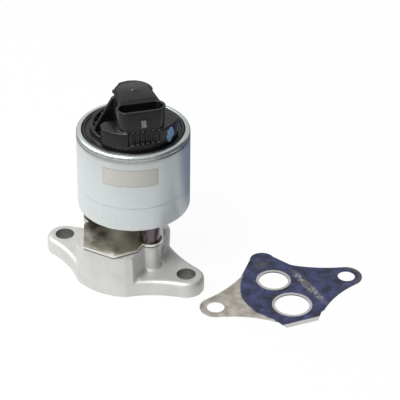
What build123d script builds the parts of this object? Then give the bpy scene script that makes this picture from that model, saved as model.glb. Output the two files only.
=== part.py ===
from build123d import *
import math
import os

os.makedirs("parts", exist_ok=True)

# A linear exhaust gas recirculation valve: a cast foot that bolts to the manifold, a poppet
# on a long stem, and a solenoid with a position sensor standing on three spacers above it.
# Millimetres. The bolt line is X, the valve axis stands behind it along Y, Z is up, and the
# foot's sealing face is z = 0.

# ---------------------------------------------------------------- foot casting
bolt_spacing = 69.0
bolt_hole_r = 4.5
ear_r = 8.7
flange_t = 7.9
flange_edge_r = 2.4
axis_y = 9.6  # the valve axis behind the bolt line
casting_h = 21.5
casting_draft = 1.5  # degrees
foot_blend = 1.5
foot_blend_slope = 50.0  # degrees
nose_y = -24.4
nose_corner = (13.4, -21.6)
shoulder = (14.1, 19.2)
ear_sweep = 76.0  # degrees either side of the bolt line
neck_blend_r = 6.0
nose_corner_r = 2.0
trunk_half = 16.2
trunk_bevel = 3.0
trunk_back = -2.0
trunk_heel = (8.0, 6.0)
casting_corner_r = 1.2
chamber_wall = 4.4
chamber_floor = 7.4

# ---------------------------------------------------------------- gas passages
inlet_r = 7.1
chamber_r = 10.0
outlet_r = 8.25
outlet_y = -11.8
passage_w = 12.6
passage_low = 9.5
passage_top = 17.4

# ---------------------------------------------------------------- seat, poppet and stem
seat_orifice_r = 5.4
seat_ring_w = 1.5  # how far the ring's pocket is wider than the inlet
seat_h = 3.4
seat_cone = 1.6
press_gap = 0.02
poppet_reach = 1.3
poppet_nose = 0.8
poppet_rim = 1.0
poppet_back = 3.0
seat_contact_gap = 0.12
stem_r = 2.25
stem_running_gap = 0.04
stem_head_r = 3.4
stem_head_h = 1.8
stroke = 4.5

# ---------------------------------------------------------------- clamp screws and spacers
screw_circle_r = 19.0
screw_start = 84.0  # degrees, the rear screw
screw_count = 3
screw_r = 2.5
screw_head_r = 4.2
screw_head_h = 5.0
screw_socket_flats = 4.0
screw_socket_depth = 2.6
screw_clearance = 0.25
thread_gap = 0.05
head_pocket_depth = 6.0
thread_engagement = 4.4
boss_r = 5.3
boss_flare = 2.4
boss_sink = 0.2  # the flare dips below the flange's top so that it runs out cleanly
lobe_r = 6.3
spacer_r = 5.0
spacer_h = 9.9

# ---------------------------------------------------------------- cover plate and gasket
cover_gasket_t = 0.5
cover_t = 1.2
cover_front = (8.4, -22.7)
cover_side = (14.4, -12.8)
cover_notch = (14.9, -10.6)
cover_left = (-18.4, -7.0)
cover_lug_r = 5.9
cover_web_w = 8.0
cover_inset = 0.35

# ---------------------------------------------------------------- stem bearing and shield
bearing_wall = 2.3
bearing_low = 17.2
bearing_high = 27.0
holder_wall = 1.3
holder_flange_r = 10.4
holder_flange_t = 1.1
shield_r = 6.8
shield_h = 1.9
shield_t = 0.8

# ---------------------------------------------------------------- solenoid can
can_r = 27.0
can_wall = 1.6
can_floor_t = 1.8
can_foot_r = 1.3
can_hole_r = 6.0
can_h = 41.2
can_shoulder_r = 2.1
can_lip_w = 2.44
can_lip_t = 1.0
crimp_h = 38.8
crimp_depth = 0.3
crease_h = 13.0
crease_depth = 0.12

# ---------------------------------------------------------------- magnet circuit
stack_gap = 0.1  # between stacked pieces and around pieces that drop in
core_gap = 0.2
lower_pole_t = 5.0
upper_pole_t = 5.0
pole_plug_h = 6.5
air_gap_rest = 0.5  # left between armature and pole when the valve is wide open
bobbin_wall = 1.2
bobbin_flange_t = 1.3
bobbin_clearance = 1.0
winding_inset = 3.0
sleeve_wall = 0.6
armature_r = 9.5
armature_gap = 0.35
armature_h = 15.0
spring_pocket_r = 6.8
spring_pocket_depth = 7.0
spring_pocket_up = 5.0
spring_wire_r = 0.65
spring_mean_r = 5.5
spring_turns = 4
terminal_r = 0.8
terminal_bush_r = 1.8

# ---------------------------------------------------------------- plastic head
head_turn = 45.0  # degrees from the bolt line to the connector's long side
disc_t = 3.6
disc_gap = 0.25
disc_step_h = 1.75
seal_w = 1.6
seal_gap = 0.3
seal_seat_gap = 0.2
lip_ring_gap = 0.56
lip_ring_w = 1.1
lip_ring_h = 0.9
drum_r = 22.2
drum_h = 10.3
drum_left = -17.9
drum_back = -6.5
drum_bevel = 2.4
drum_right = (16.1, -2.1)
drum_right_low = (22.4, -22.2)
recess_half = 7.3
recess_h = 6.4
recess_rib_count = 5
recess_rib_pitch = 2.4
recess_rib_w = 0.8
recess_rib_out = 0.7
low_ring_r = 20.4
low_ring_wall = 1.6
low_ring_h = 3.8
ring_rib_t = 1.2
ring_rib_h = 3.0
ring_rib_count = 12
ring_rib_start = 9.7  # degrees
gusset_t = 2.0
gusset_foot_r = 19.4
gusset_foot_h = 3.2
gusset_top_r = 9.8
gusset_top_h = 19.0
tower_r = 8.8
tower_front = (9.6, -10.6)
tower_h = 21.2
tower_wall = 1.6
tower_floor_h = 2.0
lid_t = 1.2
lid_rim = 0.6
lid_gap = 0.1
lid_boss_r = 2.0
lid_boss_h = 0.3
lid_hole_r = 0.5
lid_pad_inset = 1.3
lid_pad_r = 11.2
lid_pad_back = 5.8
lid_pad_h = 0.3
brim_r = 9.6
brim_h = 1.5
brim_start = -1.5  # degrees, as are the brim's next three
brim_sweep = 126.0
brim_tab_start = 160.0
brim_tab_sweep = 8.0
shroud_len = 23.4
shroud_w = 9.9
shroud_out = 15.1
shroud_h = 20.7
shroud_wall = 1.3
shroud_depth = 13.0
shroud_flare = 1.3  # how much longer the mouth is than the root
shroud_draft = 0.4
latch_w = 2.7
latch_low_h = 13.0
latch_high_h = 16.4
latch_t = 1.4
latch_ramp = 0.4
latch_root = 1.2  # how far the latch reaches into the shroud's wall

# ---------------------------------------------------------------- terminals and sensor
pin_count = 5
pin_pitch = 3.9
pin_w = 1.5
pin_t = 0.65
pin_stand = 7.2
pin_root = 4.0
pin_fit = 0.04
lead_h = 1.6
lead_rise = 1.2
board_w = 12.0
board_t = 0.8
board_h = 15.0
board_gap = 0.15
plunger_r = 1.9
plunger_gap = 0.35
plunger_seat_gap = 0.1
carrier_w = 8.0
carrier_d = 8.0
carrier_h = 4.0
carrier_rise = 3.0
carrier_corner_r = 1.0
contact_t = 0.3
contact_w = 1.2
contact_gap = 0.15
sensor_wire_r = 0.3
sensor_spring_r = 2.7
sensor_turns = 3
wire_sides = 6  # flats that stand for a spring's round wire

# ---------------------------------------------------------------- foot gasket, lifted off
gasket_t = 0.4
gasket_bead_h = 0.3
gasket_bead_w = 1.3
gasket_inset = 1.1
gasket_lobe_r = 6.1
gasket_lobe_y = 27.6
gasket_hole_gap = 0.3
gasket_nose = (6.4, -27.0)
gasket_nose_left = (-9.9, -26.8)
gasket_nose_root = (12.0, -20.0)
gasket_place = (76.25, 19.67)
gasket_turn = 51.5  # degrees

# ---------------------------------------------------------------- heights worked out from them
cover_low = casting_h + cover_gasket_t
cover_top = cover_low + cover_t
can_low = cover_top + spacer_h
can_floor = can_low + can_floor_t
rim_z = can_low + can_h
disc_top = rim_z - can_lip_t
disc_low = disc_top - disc_t
coil_low = can_floor + lower_pole_t
upper_pole_top = disc_low - stack_gap
upper_pole_low = upper_pole_top - upper_pole_t
pole_face = upper_pole_low - pole_plug_h
armature_top = pole_face - stroke - air_gap_rest
armature_low = armature_top - armature_h
spring_low = armature_top - spring_pocket_depth
spring_top = pole_face + spring_pocket_up
stem_top = spring_low + stem_head_h
seat_low = chamber_floor - seat_h
drum_top = disc_top + drum_h
tower_top = disc_top + tower_h
tower_floor = disc_top + tower_floor_h
shroud_top = disc_top + shroud_h
socket_floor = shroud_top - shroud_depth
shroud_front = -shroud_out - shroud_w / 2

# ---------------------------------------------------------------- radii and places
ear_x = bolt_spacing / 2
can_bore_r = can_r - can_wall
can_lip_r = can_r - can_lip_w
core_r = can_bore_r - core_gap
screw_hole_r = screw_r + screw_clearance
head_pocket_r = screw_head_r + screw_clearance
seat_pocket_r = inlet_r + seat_ring_w
bearing_bore_r = stem_r + stem_running_gap
bearing_r = bearing_bore_r + bearing_wall
holder_r = bearing_r + press_gap + holder_wall
sleeve_bore_r = armature_r + armature_gap
sleeve_r = sleeve_bore_r + sleeve_wall
sleeve_pocket_r = sleeve_r + stack_gap
bobbin_r = sleeve_pocket_r + bobbin_wall
bobbin_flange_r = can_bore_r - bobbin_clearance
winding_r = bobbin_flange_r - winding_inset
seal_r = can_bore_r - seal_gap - seal_w / 2
disc_step_r = seal_r - seal_w / 2 - seal_seat_gap
lip_ring_r = can_lip_r - lip_ring_gap
plunger_hole_r = plunger_r + plunger_gap
rear_angle = math.radians(screw_start)
rear_screw = (
    screw_circle_r * math.cos(rear_angle),
    axis_y + screw_circle_r * math.sin(rear_angle),
)
side_screws = [
    (
        screw_circle_r * math.cos(rear_angle + math.tau * index / screw_count),
        axis_y + screw_circle_r * math.sin(rear_angle + math.tau * index / screw_count),
    )
    for index in range(1, screw_count)
]
valve_axis = Axis((0, axis_y, 0), (0, 0, 1))
half_section = Plane(origin=(0, axis_y, 0), x_dir=(1, 0, 0), z_dir=(0, -1, 0))
turn = math.radians(head_turn)
head_right = (math.cos(turn), math.sin(turn), 0)
head_forward = (math.sin(turn), -math.cos(turn), 0)
head_front_view = Plane(origin=(0, axis_y, 0), x_dir=head_right, z_dir=head_forward)


def on_axis(height):
    """The plane square to the valve axis at a height, turned like the foot."""
    return Plane(origin=(0, axis_y, height))


def on_head(height):
    """The plane square to the valve axis at a height, turned like the connector."""
    return Plane(origin=(0, axis_y, height), x_dir=head_right)


def screw_places():
    """The three clamp screws round the valve axis."""
    return PolarLocations(screw_circle_r, screw_count, start_angle=screw_start, rotate=False)


# ================================================================ foot casting
with BuildSketch() as rear_lobe:
    with BuildLine():
        CenterArc(rear_screw, lobe_r, 0, 360)
        Line(shoulder, (-shoulder[0], shoulder[1]))
    make_hull()

with BuildSketch() as foot_plan:
    with BuildLine():
        ThreePointArc((-nose_corner[0], nose_corner[1]), (0, nose_y), nose_corner)
        ear = CenterArc((ear_x, 0), ear_r, -ear_sweep, 2 * ear_sweep)
        waist = TangentArc(ear @ 0, nose_corner, tangent=-(ear % 0))
        neck = TangentArc(ear @ 1, shoulder, tangent=ear % 1)
        mirror([waist, ear, neck], about=Plane.YZ)
        Line(shoulder, (-shoulder[0], shoulder[1]))
    make_face()
    add(rear_lobe.sketch)
    corners = foot_plan.vertices()
    shoulders = [corners.sort_by_distance((x, shoulder[1]))[0] for x in (-shoulder[0], shoulder[0])]
    fillet(shoulders, neck_blend_r)
    fillet(foot_plan.vertices().group_by(Axis.Y)[0], nose_corner_r)

with BuildSketch() as gasket_plan:
    offset(foot_plan.sketch, amount=-gasket_inset)
    with Locations((rear_screw[0], gasket_lobe_y)):
        Circle(gasket_lobe_r)

with BuildSketch() as trunk_plan:
    with BuildLine():
        ThreePointArc((-nose_corner[0], nose_corner[1]), (0, nose_y), nose_corner)
        side = Polyline(
            nose_corner,
            (trunk_half, nose_corner[1] + trunk_bevel),
            (trunk_half, trunk_back),
            trunk_heel,
        )
        mirror(side, about=Plane.YZ)
        Line(trunk_heel, (-trunk_heel[0], trunk_heel[1]))
    make_face()
    rows = trunk_plan.vertices().group_by(Axis.Y)
    fillet(rows[0] + rows[1], casting_corner_r)

# A screw boss at the origin, flared where it stands on the flange.
with BuildPart() as screw_boss:
    with BuildSketch(Plane.XZ):
        with BuildLine():
            flare = RadiusArc(
                (boss_r + boss_flare, flange_t - boss_sink),
                (boss_r, flange_t - boss_sink + boss_flare),
                boss_flare,
            )
            Polyline(flare @ 1, (boss_r, casting_h), (0, casting_h), (0, 0), (boss_r, 0), flare @ 0)
        make_face()
    revolve(axis=Axis.Z)

with BuildPart() as valve_body:
    with BuildSketch():
        add(foot_plan.sketch)
    extrude(amount=flange_t)
    fillet(valve_body.faces().sort_by(Axis.Z)[-1].edges(), flange_edge_r)
    # The trunk over the outlet and the round chamber stand on the flange.
    with BuildSketch():
        add(trunk_plan.sketch)
    extrude(amount=casting_h, taper=casting_draft)
    with BuildSketch(on_axis(0)):
        Circle(chamber_r + chamber_wall)
    extrude(amount=casting_h, taper=casting_draft)
    # Sloping land that blends their walls into the flange, kept inside its rounded rim.
    with BuildSketch(Plane.XY.offset(flange_t)):
        offset(trunk_plan.sketch, amount=foot_blend)
        with Locations((0, axis_y)):
            Circle(chamber_r + chamber_wall + foot_blend)
        offset(foot_plan.sketch, amount=-flange_edge_r, mode=Mode.INTERSECT)
    extrude(amount=foot_blend, taper=foot_blend_slope)
    # Screw bosses: two flared on the flange, the rear one rising straight from the lobe.
    with Locations(*side_screws):
        add(screw_boss.part)
    with BuildSketch():
        with Locations(rear_screw):
            Circle(boss_r)
    extrude(amount=casting_h)
    # Gas passages: straight up from both ports and across between them.
    with BuildSketch(on_axis(chamber_floor)):
        Circle(chamber_r)
    extrude(amount=casting_h - chamber_floor, mode=Mode.SUBTRACT)
    with BuildSketch(on_axis(0)):
        Circle(inlet_r)
    extrude(amount=chamber_floor, mode=Mode.SUBTRACT)
    with BuildSketch(on_axis(seat_low)):
        Circle(seat_pocket_r)
    extrude(amount=seat_h, mode=Mode.SUBTRACT)
    with BuildSketch():
        with Locations((0, outlet_y)):
            Circle(outlet_r)
    extrude(amount=passage_top, mode=Mode.SUBTRACT)
    with BuildSketch(Plane.XY.offset(passage_low)):
        with Locations((0, (outlet_y + axis_y) / 2)):
            Rectangle(passage_w, axis_y - outlet_y)
    extrude(amount=passage_top - passage_low, mode=Mode.SUBTRACT)
    # Mounting holes, clamp screw holes and the pockets for the screw heads.
    with BuildSketch():
        with GridLocations(bolt_spacing, 0, 2, 1):
            Circle(bolt_hole_r)
    extrude(amount=flange_t, mode=Mode.SUBTRACT)
    with BuildSketch(on_axis(0)):
        with screw_places():
            Circle(screw_hole_r)
    extrude(amount=casting_h, mode=Mode.SUBTRACT)
    with BuildSketch(on_axis(0)):
        with screw_places():
            Circle(head_pocket_r)
    extrude(amount=head_pocket_depth, mode=Mode.SUBTRACT)
valve_body.part.label = "valve_body"
export_step(valve_body.part, "parts/valve_body.step")

with BuildPart() as valve_seat:
    with BuildSketch(half_section):
        with BuildLine():
            Polyline(
                (seat_orifice_r, seat_low),
                (seat_pocket_r - press_gap, seat_low),
                (seat_pocket_r - press_gap, chamber_floor),
                (seat_orifice_r + seat_cone, chamber_floor),
                (seat_orifice_r, chamber_floor - seat_cone),
                close=True,
            )
        make_face()
    revolve(axis=valve_axis)
valve_seat.part.label = "valve_seat"
export_step(valve_seat.part, "parts/valve_seat.step")

# ================================================================ poppet and stem
poppet_r = seat_orifice_r + poppet_reach
cone_foot = chamber_floor - seat_cone + seat_contact_gap
poppet_shoulder = cone_foot + poppet_reach + poppet_rim

with BuildPart() as valve_stem:
    with BuildSketch(half_section):
        with BuildLine():
            Polyline(
                (0, cone_foot - poppet_nose),
                (seat_orifice_r - poppet_nose, cone_foot - poppet_nose),
                (poppet_r, cone_foot + poppet_reach),
                (poppet_r, poppet_shoulder),
                (stem_r, poppet_shoulder + poppet_back),
                (stem_r, spring_low),
                (stem_head_r, spring_low),
                (stem_head_r, stem_top),
                (0, stem_top),
                close=True,
            )
        make_face()
    revolve(axis=valve_axis)
valve_stem.part.label = "valve_stem"
export_step(valve_stem.part, "parts/valve_stem.step")

# ================================================================ cover plate, gasket, spacers
with BuildSketch() as cover_plan:
    Polygon(
        (-cover_front[0], cover_front[1]),
        cover_front,
        cover_side,
        cover_notch,
        (cover_notch[0], axis_y),
        (-cover_notch[0], axis_y),
        cover_left,
        align=None,
    )
    with Locations((0, axis_y)):
        Circle(chamber_r + chamber_wall - cover_inset)
        with screw_places():
            Circle(cover_lug_r)
        with PolarLocations(0, screw_count, start_angle=screw_start):
            Rectangle(screw_circle_r, cover_web_w, align=(Align.MIN, Align.CENTER))
    with Locations((0, axis_y)):
        with screw_places():
            Circle(screw_hole_r, mode=Mode.SUBTRACT)

with BuildPart() as cover_gasket:
    with BuildSketch(Plane.XY.offset(casting_h)):
        add(cover_plan.sketch)
        with Locations((0, axis_y)):
            Circle(chamber_r, mode=Mode.SUBTRACT)
    extrude(amount=cover_gasket_t)
cover_gasket.part.label = "cover_gasket"
export_step(cover_gasket.part, "parts/cover_gasket.step")

with BuildPart() as cover_plate:
    with BuildSketch(Plane.XY.offset(cover_low)):
        add(cover_plan.sketch)
        with Locations((0, axis_y)):
            Circle(holder_r + press_gap, mode=Mode.SUBTRACT)
    extrude(amount=cover_t)
cover_plate.part.label = "cover_plate"
export_step(cover_plate.part, "parts/cover_plate.step")

spacer_nodes = ("spacer_rear", "spacer_left", "spacer_right")
for spacer_name, place in zip(spacer_nodes, screw_places()):
    with BuildPart(on_axis(cover_top)) as spacer:
        with Locations(place):
            Cylinder(spacer_r, spacer_h, align=(Align.CENTER, Align.CENTER, Align.MIN))
            Cylinder(
                screw_hole_r,
                spacer_h,
                align=(Align.CENTER, Align.CENTER, Align.MIN),
                mode=Mode.SUBTRACT,
            )
    spacer.part.label = spacer_name
    export_step(spacer.part, "parts/" + spacer_name + ".step")

with BuildPart() as clamp_screws:
    with BuildSketch(on_axis(head_pocket_depth - screw_head_h)):
        with screw_places():
            Circle(screw_head_r)
    extrude(amount=screw_head_h)
    with BuildSketch(on_axis(head_pocket_depth)):
        with screw_places():
            Circle(screw_r)
    extrude(amount=can_floor + thread_engagement - head_pocket_depth)
    with BuildSketch(on_axis(head_pocket_depth - screw_head_h)):
        with screw_places():
            RegularPolygon(screw_socket_flats / 2, 6, major_radius=False)
    extrude(amount=screw_socket_depth, mode=Mode.SUBTRACT)
clamp_screws.part.label = "clamp_screws"
export_step(clamp_screws.part, "parts/clamp_screws.step")

# ================================================================ bearing, holder and shield
with BuildPart() as shaft_bearing:
    with BuildSketch(on_axis(bearing_low)):
        Circle(bearing_r)
        Circle(bearing_bore_r, mode=Mode.SUBTRACT)
    extrude(amount=bearing_high - bearing_low)
shaft_bearing.part.label = "shaft_bearing"
export_step(shaft_bearing.part, "parts/shaft_bearing.step")

with BuildPart() as bearing_holder:
    with BuildSketch(half_section):
        with BuildLine():
            Polyline(
                (bearing_r + press_gap, bearing_low),
                (holder_r, bearing_low),
                (holder_r, cover_top),
                (holder_flange_r, cover_top),
                (holder_flange_r, cover_top + holder_flange_t),
                (bearing_r + press_gap, cover_top + holder_flange_t),
                close=True,
            )
        make_face()
    revolve(axis=valve_axis)
bearing_holder.part.label = "bearing_holder"
export_step(bearing_holder.part, "parts/bearing_holder.step")

shield_hole_r = stem_r + armature_gap

with BuildPart() as deposit_shield:
    with BuildSketch(half_section):
        with BuildLine():
            Polyline(
                (shield_hole_r, bearing_low - shield_t),
                (shield_r - shield_t, bearing_low - shield_t),
                (shield_r - shield_t, bearing_low - shield_h),
                (shield_r, bearing_low - shield_h),
                (shield_r, bearing_low),
                (shield_hole_r, bearing_low),
                close=True,
            )
        make_face()
    revolve(axis=valve_axis)
deposit_shield.part.label = "deposit_shield"
export_step(deposit_shield.part, "parts/deposit_shield.step")

# ================================================================ solenoid can
crimp_z = can_low + crimp_h
crease_z = can_low + crease_h

with BuildPart() as solenoid_can:
    with BuildSketch(half_section):
        with BuildLine():
            floor_line = Line((can_hole_r, can_low), (can_r - can_foot_r, can_low))
            foot_arc = TangentArc(floor_line @ 1, (can_r, can_low + can_foot_r), tangent=(1, 0))
            wall_line = Polyline(
                foot_arc @ 1,
                (can_r, crease_z - crease_depth),
                (can_r - crease_depth, crease_z),
                (can_r, crease_z + crease_depth),
                (can_r, crimp_z - crimp_depth),
                (can_r - crimp_depth, crimp_z),
                (can_r, crimp_z + crimp_depth),
            )
            shoulder_arc = TangentArc(wall_line @ 1, (can_r - can_shoulder_r, rim_z), tangent=(0, 1))
            Polyline(
                shoulder_arc @ 1,
                (can_lip_r, rim_z),
                (can_lip_r, disc_top),
                (can_bore_r, disc_top),
                (can_bore_r, can_floor),
                (can_hole_r, can_floor),
                (can_hole_r, can_low),
            )
        make_face()
    revolve(axis=valve_axis)
    with BuildSketch(on_axis(can_low)):
        with screw_places():
            Circle(screw_hole_r)
    extrude(amount=can_floor_t, mode=Mode.SUBTRACT)
solenoid_can.part.label = "solenoid_can"
export_step(solenoid_can.part, "parts/solenoid_can.step")

# ================================================================ magnet circuit
with BuildPart() as lower_pole:
    with BuildSketch(on_axis(can_floor)):
        Circle(core_r)
        Circle(sleeve_pocket_r, mode=Mode.SUBTRACT)
    extrude(amount=lower_pole_t)
    with BuildSketch(on_axis(can_floor)):
        with screw_places():
            Circle(screw_r + thread_gap)
    extrude(amount=thread_engagement + stack_gap, mode=Mode.SUBTRACT)
lower_pole.part.label = "lower_pole"
export_step(lower_pole.part, "parts/lower_pole.step")

pin_first = -(pin_count - 1) / 2 * pin_pitch
coil_pin_places = ((pin_first, -shroud_out), (-pin_first, -shroud_out))

with BuildPart() as upper_pole:
    with BuildSketch(half_section):
        with BuildLine():
            Polyline(
                (spring_pocket_r, pole_face),
                (armature_r, pole_face),
                (armature_r, upper_pole_low),
                (core_r, upper_pole_low),
                (core_r, upper_pole_top),
                (plunger_hole_r, upper_pole_top),
                (plunger_hole_r, spring_top),
                (spring_pocket_r, spring_top),
                close=True,
            )
        make_face()
    revolve(axis=valve_axis)
    with BuildSketch(on_head(upper_pole_low)):
        with Locations(*coil_pin_places):
            Circle(terminal_bush_r)
    extrude(amount=upper_pole_t, mode=Mode.SUBTRACT)
upper_pole.part.label = "upper_pole"
export_step(upper_pole.part, "parts/upper_pole.step")

with BuildPart() as armature_sleeve:
    with BuildSketch(on_axis(can_floor + stack_gap)):
        Circle(sleeve_r)
        Circle(sleeve_bore_r, mode=Mode.SUBTRACT)
    extrude(amount=upper_pole_low - can_floor - 2 * stack_gap)
armature_sleeve.part.label = "armature_sleeve"
export_step(armature_sleeve.part, "parts/armature_sleeve.step")

bobbin_low = coil_low + stack_gap
bobbin_high = upper_pole_low - stack_gap
winding_low = bobbin_low + bobbin_flange_t
winding_high = bobbin_high - bobbin_flange_t

with BuildPart() as coil_bobbin:
    with BuildSketch(half_section):
        with BuildLine():
            Polyline(
                (sleeve_pocket_r, bobbin_low),
                (bobbin_flange_r, bobbin_low),
                (bobbin_flange_r, winding_low),
                (bobbin_r, winding_low),
                (bobbin_r, winding_high),
                (bobbin_flange_r, winding_high),
                (bobbin_flange_r, bobbin_high),
                (sleeve_pocket_r, bobbin_high),
                close=True,
            )
        make_face()
    revolve(axis=valve_axis)
coil_bobbin.part.label = "coil_bobbin"
export_step(coil_bobbin.part, "parts/coil_bobbin.step")

with BuildPart() as coil_winding:
    with BuildSketch(on_axis(winding_low + press_gap)):
        Circle(winding_r)
        Circle(bobbin_r + press_gap, mode=Mode.SUBTRACT)
    extrude(amount=winding_high - winding_low - 2 * press_gap)
coil_winding.part.label = "coil_winding"
export_step(coil_winding.part, "parts/coil_winding.step")

with BuildPart() as armature:
    with BuildSketch(half_section):
        with BuildLine():
            Polyline(
                (stem_r + press_gap, armature_low),
                (armature_r, armature_low),
                (armature_r, armature_top),
                (spring_pocket_r, armature_top),
                (spring_pocket_r, spring_low),
                (stem_r + press_gap, spring_low),
                close=True,
            )
        make_face()
    revolve(axis=valve_axis)
armature.part.label = "armature"
export_step(armature.part, "parts/armature.step")


def coil_spring_path(low, high, wire_r, mean_r, turns):
    """The centre line of a coil spring whose wire just reaches both heights."""
    rise = high - low - 2 * wire_r
    return Helix(rise / turns, rise, mean_r, center=(0, axis_y, low + wire_r))


with BuildPart() as return_spring:
    with BuildLine():
        coil = coil_spring_path(spring_low, spring_top, spring_wire_r, spring_mean_r, spring_turns)
    with BuildSketch(Plane(origin=coil @ 0, z_dir=coil % 0)):
        RegularPolygon(spring_wire_r, wire_sides)
    sweep()
return_spring.part.label = "return_spring"
export_step(return_spring.part, "parts/return_spring.step")

terminal_low = bobbin_high
terminal_high = disc_low + pin_root

with BuildPart() as coil_terminals:
    with BuildSketch(on_head(terminal_low)):
        with Locations(*coil_pin_places):
            Circle(terminal_r)
    extrude(amount=terminal_high - terminal_low)
coil_terminals.part.label = "coil_terminals"
export_step(coil_terminals.part, "parts/coil_terminals.step")

with BuildPart() as cap_seal_ring:
    with BuildSketch(half_section):
        with Locations((seal_r, disc_low + disc_step_h / 2)):
            Rectangle(seal_w, seal_w)
    revolve(axis=valve_axis)
cap_seal_ring.part.label = "cap_seal_ring"
export_step(cap_seal_ring.part, "parts/cap_seal_ring.step")

# ================================================================ plastic head
pin_places = [(pin_first + index * pin_pitch, -shroud_out) for index in range(pin_count)]
lead_low = tower_floor + lead_rise
cavity_front = tower_front[1] + tower_wall
board_front = cavity_front + board_gap

with BuildSketch() as tower_plan:
    Circle(tower_r)
    Polygon(
        (-tower_r, 0),
        (-tower_front[0], tower_front[1]),
        tower_front,
        (tower_r, 0),
        align=None,
    )

with BuildPart() as connector_cap:
    # Closing disc: a full flange under the can's lip, stepped in below for the seal ring.
    with BuildSketch(on_head(disc_low)):
        Circle(disc_step_r)
    extrude(amount=disc_t)
    with BuildSketch(on_head(disc_low + disc_step_h)):
        Circle(can_bore_r - disc_gap)
    extrude(amount=disc_t - disc_step_h)
    with BuildSketch(on_head(disc_top)):
        Circle(lip_ring_r)
        Circle(lip_ring_r - lip_ring_w, mode=Mode.SUBTRACT)
    extrude(amount=lip_ring_h)
    # Front platform: a slice of a drum with a straight left side and a stepped back edge.
    with BuildSketch(on_head(disc_top)):
        Circle(drum_r)
        Polygon(
            (drum_left, -drum_r),
            (drum_left, drum_back - drum_bevel),
            (drum_left + drum_bevel, drum_back),
            (0, drum_back),
            (0, drum_right[1]),
            drum_right,
            drum_right_low,
            align=None,
            mode=Mode.INTERSECT,
        )
    extrude(amount=drum_h)
    # Low ring round the back with radial ribs in to the tower.
    with BuildSketch(on_head(disc_top)):
        Circle(low_ring_r)
        Circle(low_ring_r - low_ring_wall, mode=Mode.SUBTRACT)
    extrude(amount=low_ring_h)
    with BuildSketch(on_head(disc_top)):
        with PolarLocations(0, ring_rib_count, start_angle=ring_rib_start):
            Rectangle(low_ring_r - low_ring_wall / 2, ring_rib_t, align=(Align.MIN, Align.CENTER))
    extrude(amount=ring_rib_h)
    # Gusset web across the tower.
    with BuildSketch(head_front_view):
        Polygon(
            (-gusset_foot_r, disc_top),
            (gusset_foot_r, disc_top),
            (gusset_foot_r, disc_top + gusset_foot_h),
            (gusset_top_r, disc_top + gusset_top_h),
            (-gusset_top_r, disc_top + gusset_top_h),
            (-gusset_foot_r, disc_top + gusset_foot_h),
            align=None,
        )
    extrude(amount=gusset_t / 2, both=True)
    # Sensor tower, round at the back and flat where the connector joins it.
    with BuildSketch(on_head(disc_top)):
        add(tower_plan.sketch)
    extrude(amount=tower_h)
    # Brim round the back of the tower's top, and a short tab beyond its end.
    with BuildSketch(on_head(tower_top - brim_h)):
        for start, turn in ((brim_start, brim_sweep), (brim_tab_start, brim_tab_sweep)):
            with BuildLine():
                rim = CenterArc((0, 0), brim_r, start, turn)
                Polyline(rim @ 1, (0, 0), rim @ 0)
            make_face()
    extrude(amount=brim_h)
    # Connector shroud, a little wider at its mouth.
    with BuildSketch(on_head(drum_top)):
        with Locations((0, -shroud_out)):
            SlotOverall(shroud_len - shroud_flare, shroud_w - shroud_draft)
    with BuildSketch(on_head(shroud_top)):
        with Locations((0, -shroud_out)):
            SlotOverall(shroud_len, shroud_w)
    loft()
    # Latch ramp on the front of the shroud, thicker at its foot.
    with BuildSketch(on_head(disc_top + latch_low_h)):
        with Locations((0, shroud_front + latch_root)):
            Rectangle(latch_w, latch_root + latch_t, align=(Align.CENTER, Align.MAX))
    with BuildSketch(on_head(disc_top + latch_high_h)):
        with Locations((0, shroud_front + latch_root)):
            Rectangle(latch_w, latch_root + latch_ramp, align=(Align.CENTER, Align.MAX))
    loft()
    # Recess in the platform below the shroud.
    with BuildSketch(on_head(drum_top)):
        with Locations((0, shroud_front)):
            Rectangle(2 * recess_half, drum_r, align=(Align.CENTER, Align.MAX))
    extrude(amount=-recess_h, mode=Mode.SUBTRACT)
    with BuildSketch(on_head(drum_top - recess_h)):
        with Locations((0, shroud_front)):
            with GridLocations(recess_rib_pitch, 0, recess_rib_count, 1):
                Rectangle(recess_rib_w, 2 * recess_rib_out)
    extrude(amount=recess_h)
    # Connector socket and the slots that hold the pins and their leads.
    with BuildSketch(on_head(socket_floor)):
        with Locations((0, -shroud_out)):
            SlotOverall(shroud_len - 2 * shroud_wall, shroud_w - 2 * shroud_wall)
    extrude(amount=shroud_depth, mode=Mode.SUBTRACT)
    with BuildSketch(on_head(disc_low)):
        with Locations(*pin_places):
            Rectangle(pin_w + 2 * pin_fit, pin_t + 2 * pin_fit)
    extrude(amount=socket_floor - disc_low, mode=Mode.SUBTRACT)
    with BuildSketch(on_head(disc_low)):
        with Locations(*coil_pin_places):
            Circle(terminal_r + pin_fit)
    extrude(amount=pin_root, mode=Mode.SUBTRACT)
    with BuildSketch(on_head(lead_low - pin_fit)):
        with Locations(*[(x, -shroud_out - pin_t / 2 - pin_fit) for x, y in pin_places[1:-1]]):
            Rectangle(
                pin_w + 2 * pin_fit,
                shroud_out + cavity_front + pin_t,
                align=(Align.CENTER, Align.MIN),
            )
    extrude(amount=lead_h + 2 * pin_fit, mode=Mode.SUBTRACT)
    # Sensor cavity, the ledge for its lid and the guide for the plunger.
    with BuildSketch(on_head(tower_floor)):
        offset(tower_plan.sketch, amount=-tower_wall)
    extrude(amount=tower_top - tower_floor, mode=Mode.SUBTRACT)
    with BuildSketch(on_head(tower_top - lid_t)):
        offset(tower_plan.sketch, amount=-lid_rim)
    extrude(amount=lid_t, mode=Mode.SUBTRACT)
    with BuildSketch(on_head(disc_low)):
        Circle(plunger_hole_r)
    extrude(amount=tower_floor - disc_low, mode=Mode.SUBTRACT)
connector_cap.part.label = "connector_cap"
export_step(connector_cap.part, "parts/connector_cap.step")

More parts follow.
